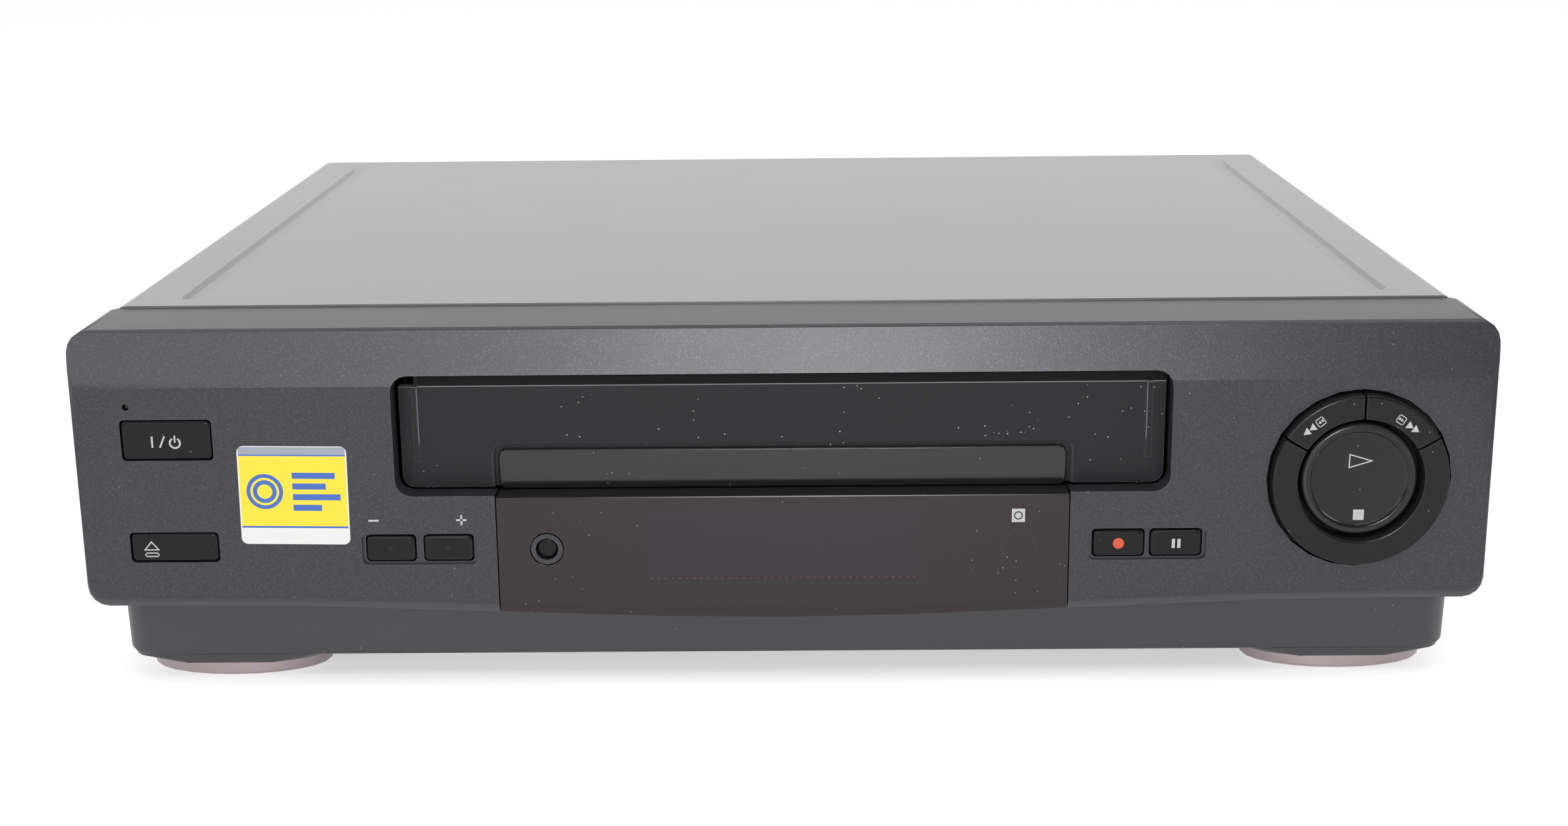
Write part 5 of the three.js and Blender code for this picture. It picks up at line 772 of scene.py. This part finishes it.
rocker_profile = (
    (0.0, face - 0.0001), (0.004, face - 0.00012), (0.008, face - 0.0002), (0.0112, face - 0.00032),
    (0.0119, face - 0.00042), (0.01217, face - 0.0007), (0.01245, face - 0.0009), (0.0129, face - 0.00098),
    (0.0136, face - 0.00094), (0.014, face - 0.00078), (0.0143, face - 0.00052), (0.0145, face - 0.00018),
    (0.0146, face + 0.0003), (0.0146, face + 0.003),
)
disc_steps, disc_weld = 96, 0.000005
bpy.ops.object.select_all(action="DESELECT")
bpy.ops.mesh.primitive_circle_add(vertices=3, radius=0.001)
rocker = bpy.context.active_object
rocker.name = "play_stop_disc"
bpy.ops.object.mode_set(mode="EDIT")
bpy.ops.mesh.select_all(action="SELECT")
bpy.ops.mesh.delete(type="VERT")
bpy.ops.object.mode_set(mode="OBJECT")
rocker.data.vertices.add(len(rocker_profile))
rocker.data.edges.add(len(rocker_profile) - 1)
for index, (radius, level) in enumerate(rocker_profile):
    rocker.data.vertices[index].co = (dial_x + radius, level, dial_z)
for index, edge in enumerate(rocker.data.edges):
    edge.vertices = (index, index + 1)
bpy.ops.object.mode_set(mode="EDIT")
bpy.ops.mesh.select_all(action="SELECT")
bpy.ops.mesh.spin(
    steps=disc_steps, angle=2.0 * math.pi, center=(dial_x, face, dial_z), axis=(0.0, 1.0, 0.0),
)
bpy.ops.mesh.select_all(action="SELECT")
bpy.ops.mesh.remove_doubles(threshold=disc_weld)
bpy.ops.mesh.select_all(action="DESELECT")
bpy.ops.mesh.select_mode(type="EDGE")
bpy.ops.mesh.select_non_manifold(extend=False)
bpy.ops.mesh.edge_face_add()
bpy.ops.mesh.select_all(action="SELECT")
bpy.ops.mesh.normals_make_consistent(inside=False)
bpy.ops.object.mode_set(mode="OBJECT")
bpy.ops.object.shade_smooth_by_angle(angle=smooth_angle)
bpy.ops.object.location_clear()
disc_finish = moulded_finish(
    "black_disc_plastic", (0.003, 0.003, 0.004), (0.005, 0.005, 0.006), roughness=0.2, grain_size=0.0005,
    grain_depth=0.05, dust_share=0.09, gloss=0.36, edge_wear_and_highlight=0.06,
)
disc_place = disc_finish.node_tree.nodes.new("ShaderNodeTexCoord")
disc_reach = round_distance(disc_finish, disc_place.outputs["Object"], x=dial_x, z=dial_z)
# Painted highlight: a lighter ring along the disc's raised lip.
paint_over(
    disc_finish, band_mask(disc_finish, disc_reach, middle=0.0138, half=0.0004, soft=0.0003),
    (0.03, 0.03, 0.033),
)
rocker.data.materials.append(disc_finish)
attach(rocker, "rocker")
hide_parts("play_stop_rocker")


def print_outline_box(prints, x, z, half, y, turn, line=0.00022):
    for angle in (0.0, 90.0, 180.0, 270.0):
        heading = turn + math.radians(angle)
        print_bar(
            prints, x=x + half * math.cos(heading), z=z + half * math.sin(heading), width=line,
            height=2.0 * half - line, y=y,
            turn=-heading,
        )


for name, body, way, mark, box in (
    ("rewind_sign", "rewind", math.radians(-141.0), (0.1304, 0.0682), (0.1331, 0.0704)),
    ("forward_sign", "fast_forward", math.radians(-34.0), (0.1560, 0.0686), (0.1529, 0.0708)),
):
    signs = start_prints()
    for (x, z), length, height, apart in ((mark, 0.0017, 0.0021, 0.0009), (box, 0.0007, 0.0009, 0.00036)):
        for step in (-1.0, 1.0):
            print_triangle(
                signs, x=x + step * apart * math.cos(way), z=z + step * apart * math.sin(way),
                length=length, height=height, y=foremost, turn=way,
            )
    print_outline_box(signs, x=box[0], z=box[1], half=0.0010, y=foremost, turn=way)
    finish_prints(signs, name, body, ink_look)

play_stop = start_prints()
play_stop_x, sunk_in_disc = 0.1444, 0.00003
print_triangle(
    play_stop, x=play_stop_x, z=0.0595, length=0.0062, height=0.0038, y=sunk_in_disc, line=0.0003,
)
print_bar(play_stop, x=play_stop_x, z=0.0455, width=0.0027, height=0.0027, y=sunk_in_disc)
play_stop_signs = finish_prints(
    play_stop, "play_stop_signs", "rocker", ink_look, film=ink_film + sunk_in_disc,
)
for vertex in play_stop_signs.data.vertices:
    reach = math.hypot(vertex.co.x - dial_x, vertex.co.z - dial_z)
    for (inner, inner_level), (outer, outer_level) in zip(rocker_profile[:-1], rocker_profile[1:]):
        if inner <= reach < outer:
            vertex.co.y += inner_level + (outer_level - inner_level) * (reach - inner) / (outer - inner)
            break

# Printed label
# A paper-thin adhesive label on the face: a grey band, a yellow field between two blue lines and
# a white foot. The field carries a blue reel and four plain bars.
label_finish = moulded_finish(
    "label_film", (0.70, 0.70, 0.70), (0.74, 0.74, 0.73), roughness=0.35, grain_size=0.0006,
    grain_depth=0.02, dust_share=0.01,
)
label_nodes, label_links = label_finish.node_tree.nodes, label_finish.node_tree.links
label_place = label_nodes.new("ShaderNodeTexCoord")
label_map = label_nodes.new("ShaderNodeMapping")
label_map.vector_type = "TEXTURE"
label_map.inputs["Location"].default_value = (-0.12275, face, 0.05255)
label_map.inputs["Rotation"].default_value = (0.0, math.radians(0.8), 0.0)
label_axes = label_nodes.new("ShaderNodeSeparateXYZ")
label_links.new(label_place.outputs["Object"], label_map.inputs["Vector"])
label_links.new(label_map.outputs["Vector"], label_axes.inputs["Vector"])
label_soft, border_half = 0.00004, 0.0134
label_grey, label_yellow, label_blue = (0.305, 0.328, 0.40), (0.84, 0.66, 0.035), (0.045, 0.127, 0.456)
within_border = band_mask(
    label_finish, label_axes.outputs["X"], middle=0.0, half=border_half, soft=label_soft,
)
for middle, half, colour in (
    (0.01168, 0.00098, label_grey), (0.0010, 0.0093, label_yellow),
    (0.0105, 0.0002, label_blue), (-0.0083, 0.00025, label_blue),
):
    level = band_mask(label_finish, label_axes.outputs["Z"], middle=middle, half=half, soft=label_soft)
    paint_over(label_finish, both_masks(label_finish, level, within_border), colour)
bar_half_height = 0.0008
for level, middle, half in (
    (0.0052, 0.0052, 0.0054),
    (0.0024, 0.0040, 0.0042),
    (-0.0004, 0.0058, 0.0060),
    (-0.0032, 0.0034, 0.0036),
):
    across = band_mask(
        label_finish, label_axes.outputs["Z"], middle=level, half=bar_half_height, soft=label_soft,
    )
    along = band_mask(label_finish, label_axes.outputs["X"], middle=middle, half=half, soft=label_soft)
    paint_over(label_finish, both_masks(label_finish, across, along), label_blue)
label_reach = round_distance(label_finish, label_map.outputs["Vector"], x=-0.0072, z=0.0010)
for middle, half, colour in (
    (0.0, 0.0046, label_blue),
    (0.0, 0.0019, label_yellow),
    (0.0033, 0.0003, label_yellow),
):
    paint_over(
        label_finish, band_mask(label_finish, label_reach, middle=middle, half=half, soft=label_soft),
        colour,
    )
edged_copy("front_sticker", "recorder", label_finish, width=0.00004)

# Steel cover
# A folded steel sheet, sprayed in a dark satin grey, with two long pressed grooves and vent slots
# in its sides. It slides on from behind over the housing's rim, and screws hold its sides and its back.
cover_finish = moulded_finish(
    "satin_cover_paint", (0.152, 0.141, 0.146), (0.168, 0.156, 0.161), roughness=0.3, grain_size=0.0011,
    grain_depth=0.09, dust_share=0.008,
)
cover_shader = cover_finish.node_tree.nodes["Principled BSDF"]
cover_shader.inputs["Coat Weight"].default_value = 0.55
cover_shader.inputs["Coat Roughness"].default_value = 0.24
groove_end, groove_ramp = 0.128, 0.016
groove_inner, groove_outer = 0.151, 0.161
groove_low, groove_high = 0.0935, 0.0945


def run_out(point):
    in_groove = groove_inner < abs(point.x) < groove_outer and groove_low < point.z < groove_high
    if in_groove and point.y > groove_end:
        return point - Vector((0.0, groove_ramp, 0.0))
    return point


edged_copy("top_cover", "recorder", cover_finish, width=0.00025, moved=run_out)

# Cover and back screws
# Pan-head screws of plated steel with a cross recess. Two in each side hold the cover to the base,
# and three in the back hold its upper edge to the back plate's flange.
steel_finish = moulded_finish(
    "turned_steel", (0.5, 0.5, 0.52), (0.62, 0.62, 0.64), roughness=0.28, grain_size=0.0015,
    grain_depth=0.05, dust_share=0.0, metallic=1.0,
)
screw_radius, screw_rise, head_round = 0.0032, 0.0014, 0.0009
recess_long, recess_wide, recess_deep = 0.0034, 0.0006, 0.0018
bpy.ops.object.select_all(action="DESELECT")
bpy.ops.mesh.primitive_cylinder_add(
    vertices=32, radius=screw_radius, depth=screw_rise, location=(0.0, 0.0, screw_rise / 2.0),
)
screw = bpy.context.active_object
bpy.ops.object.transform_apply(location=True, rotation=True, scale=True)
for vertex in screw.data.vertices:
    vertex.select = vertex.co.z > screw_rise / 2.0
for edge in screw.data.edges:
    edge.select = all(screw.data.vertices[i].select for i in edge.vertices)
bpy.context.tool_settings.mesh_select_mode = (False, True, False)
bpy.ops.object.mode_set(mode="EDIT")
bpy.ops.mesh.bevel(offset=head_round, segments=5, affect="EDGES")
bpy.ops.object.mode_set(mode="OBJECT")
for turn in (0.0, math.pi / 2.0):
    bpy.ops.object.select_all(action="DESELECT")
    bpy.ops.mesh.primitive_cube_add(size=1.0, location=(0.0, 0.0, screw_rise), rotation=(0.0, 0.0, turn))
    slot_cutter = bpy.context.active_object
    slot_cutter.scale = (recess_long, recess_wide, recess_deep)
    bpy.ops.object.transform_apply(location=True, rotation=True, scale=True)
    recess = screw.modifiers.new("cross_recess", "BOOLEAN")
    recess.operation = "DIFFERENCE"
    recess.object = slot_cutter
    bpy.context.view_layer.objects.active = screw
    bpy.ops.object.modifier_apply(modifier=recess.name)
    bpy.data.objects.remove(slot_cutter)
bpy.context.view_layer.objects.active = screw
screw.select_set(True)
bpy.ops.object.shade_smooth_by_angle(angle=smooth_angle)
screw.data.materials.append(steel_finish)
side_x, side_front, side_rear, side_z = 0.17365, -0.071, 0.121, 0.031
back_x, back_y, back_z = 0.158, 0.13675, 0.086
to_left = Matrix.Rotation(-math.pi / 2.0, 4, "Y")
to_right = Matrix.Rotation(math.pi / 2.0, 4, "Y")
to_back = Matrix.Rotation(-math.pi / 2.0, 4, "X")
for name, place, turn in (
    ("cover_screw_left_front", (-side_x, side_front, side_z), to_left),
    ("cover_screw_left_rear", (-side_x, side_rear, side_z), to_left),
    ("cover_screw_right_front", (side_x, side_front, side_z), to_right),
    ("cover_screw_right_rear", (side_x, side_rear, side_z), to_right),
    ("back_screw_left", (-back_x, back_y, back_z), to_back),
    ("back_screw_middle", (0.0, back_y, back_z), to_back),
    ("back_screw_right", (back_x, back_y, back_z), to_back),
):
    fitted = bpy.data.objects.new(name, screw.data.copy())
    scene.collection.objects.link(fitted)
    fitted.data.transform(Matrix.Translation(place) @ turn)
    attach(fitted, "recorder")
bpy.data.objects.remove(screw)

# Moulded base and feet
# The plastic base carries everything. Two wide oval feet with a satin metal-look band stand under
# its front corners, and two round rubber feet at the back.
base_finish = moulded_finish(
    "charcoal_base_plastic", (0.032, 0.032, 0.036), (0.042, 0.042, 0.047), roughness=0.45,
    grain_size=0.0004, grain_depth=0.15, dust_share=0.01,
)
edged_copy("chassis_base", "recorder", base_finish, width=0.0003)
foot_finish = moulded_finish(
    "satin_foot_band", (0.36, 0.295, 0.31), (0.43, 0.36, 0.375), roughness=0.3, grain_size=0.002,
    grain_depth=0.03, dust_share=0.01, metallic=0.6,
)
rubber_finish = moulded_finish(
    "black_rubber", (0.018, 0.018, 0.018), (0.026, 0.026, 0.026), roughness=0.85, grain_size=0.0006,
    grain_depth=0.3, dust_share=0.0,
)
edged_copy("foot_front_left", "recorder", foot_finish, width=0.0002)
edged_copy("foot_front_right", "recorder", foot_finish, width=0.0002)
edged_copy("foot_rear_left", "recorder", rubber_finish, width=0.0003)
edged_copy("foot_rear_right", "recorder", rubber_finish, width=0.0003)

# Back
# A plated steel sheet closes the back. The two wide sockets, the aerial sockets and the mains
# inlet stand in its cut-outs.
zinc_finish = moulded_finish(
    "zinc_plate", (0.5, 0.51, 0.52), (0.6, 0.61, 0.62), roughness=0.38, grain_size=0.003, grain_depth=0.06,
    dust_share=0.0, metallic=0.95,
)
edged_copy("rear_panel", "recorder", zinc_finish, width=0.0001)
socket_finish = moulded_finish(
    "black_socket_plastic", (0.02, 0.02, 0.02), (0.027, 0.027, 0.027), roughness=0.45, grain_size=0.0006,
    grain_depth=0.1, dust_share=0.0,
)
edged_copy("scart_sockets", "recorder", socket_finish, width=0.0002)
edged_copy("mains_inlet", "recorder", socket_finish, width=0.0002)
edged_copy("tuner_module", "recorder", zinc_finish, width=0.0002)

# Everything inside
# The tape deck, its boards and its drive keep their construction shapes and get their finishes:
# plated steel, turned aluminium, rubber, white and cream plastic, green and tan board.
dark_steel_finish = moulded_finish(
    "dark_sheet_steel", (0.12, 0.12, 0.13), (0.16, 0.16, 0.17), roughness=0.42, grain_size=0.0015,
    grain_depth=0.06, dust_share=0.0, metallic=0.8,
)
aluminium_finish = moulded_finish(
    "turned_aluminium", (0.7, 0.7, 0.72), (0.8, 0.8, 0.82), roughness=0.2, grain_size=0.0009,
    grain_depth=0.05, dust_share=0.0, metallic=1.0,
)
white_finish = moulded_finish(
    "white_plastic", (0.74, 0.74, 0.7), (0.8, 0.8, 0.77), roughness=0.45, grain_size=0.0006,
    grain_depth=0.06, dust_share=0.0,
)
cream_finish = moulded_finish(
    "cream_plastic", (0.66, 0.61, 0.48), (0.74, 0.7, 0.56), roughness=0.45, grain_size=0.0006,
    grain_depth=0.06, dust_share=0.0,
)
# Painted shade: the front board is a very dark brown, much darker than the tan boards, for the shade where
# it shows through the narrow gap under the door.
front_board_painted_shade_finish = moulded_finish(
    "dark_board_painted_shade", (0.022, 0.016, 0.008), (0.03, 0.022, 0.012), roughness=0.4, grain_size=0.0012,
    grain_depth=0.1, dust_share=0.0,
)
green_finish = moulded_finish(
    "green_board", (0.03, 0.14, 0.06), (0.05, 0.19, 0.09), roughness=0.35, grain_size=0.0012,
    grain_depth=0.1, dust_share=0.0,
)
tan_finish = moulded_finish(
    "tan_board", (0.36, 0.22, 0.09), (0.44, 0.28, 0.12), roughness=0.6, grain_size=0.0012, grain_depth=0.15,
    dust_share=0.0,
)
glass_finish = moulded_finish(
    "display_glass", (0.02, 0.022, 0.026), (0.026, 0.028, 0.032), roughness=0.06, grain_size=0.004,
    grain_depth=0.01, dust_share=0.0,
)
inside_looks = {
    "steel": steel_finish, "zinc": zinc_finish, "dark_steel": dark_steel_finish,
    "aluminium": aluminium_finish, "white_plastic": white_finish, "cream_plastic": cream_finish,
    "board_green": green_finish, "board_tan": tan_finish, "tube_glass": glass_finish,
    "rubber": rubber_finish, "black_plastic": socket_finish,
}
for part in frame["record"]["subparts"]:
    look = front_board_painted_shade_finish if part["node"] == "front_board" else inside_looks.get(part["material_slot"])
    node = frame["nodes"][part["node"]]
    if look is not None and not node.hide_render:
        node.data.materials.clear()
        node.data.materials.append(look)
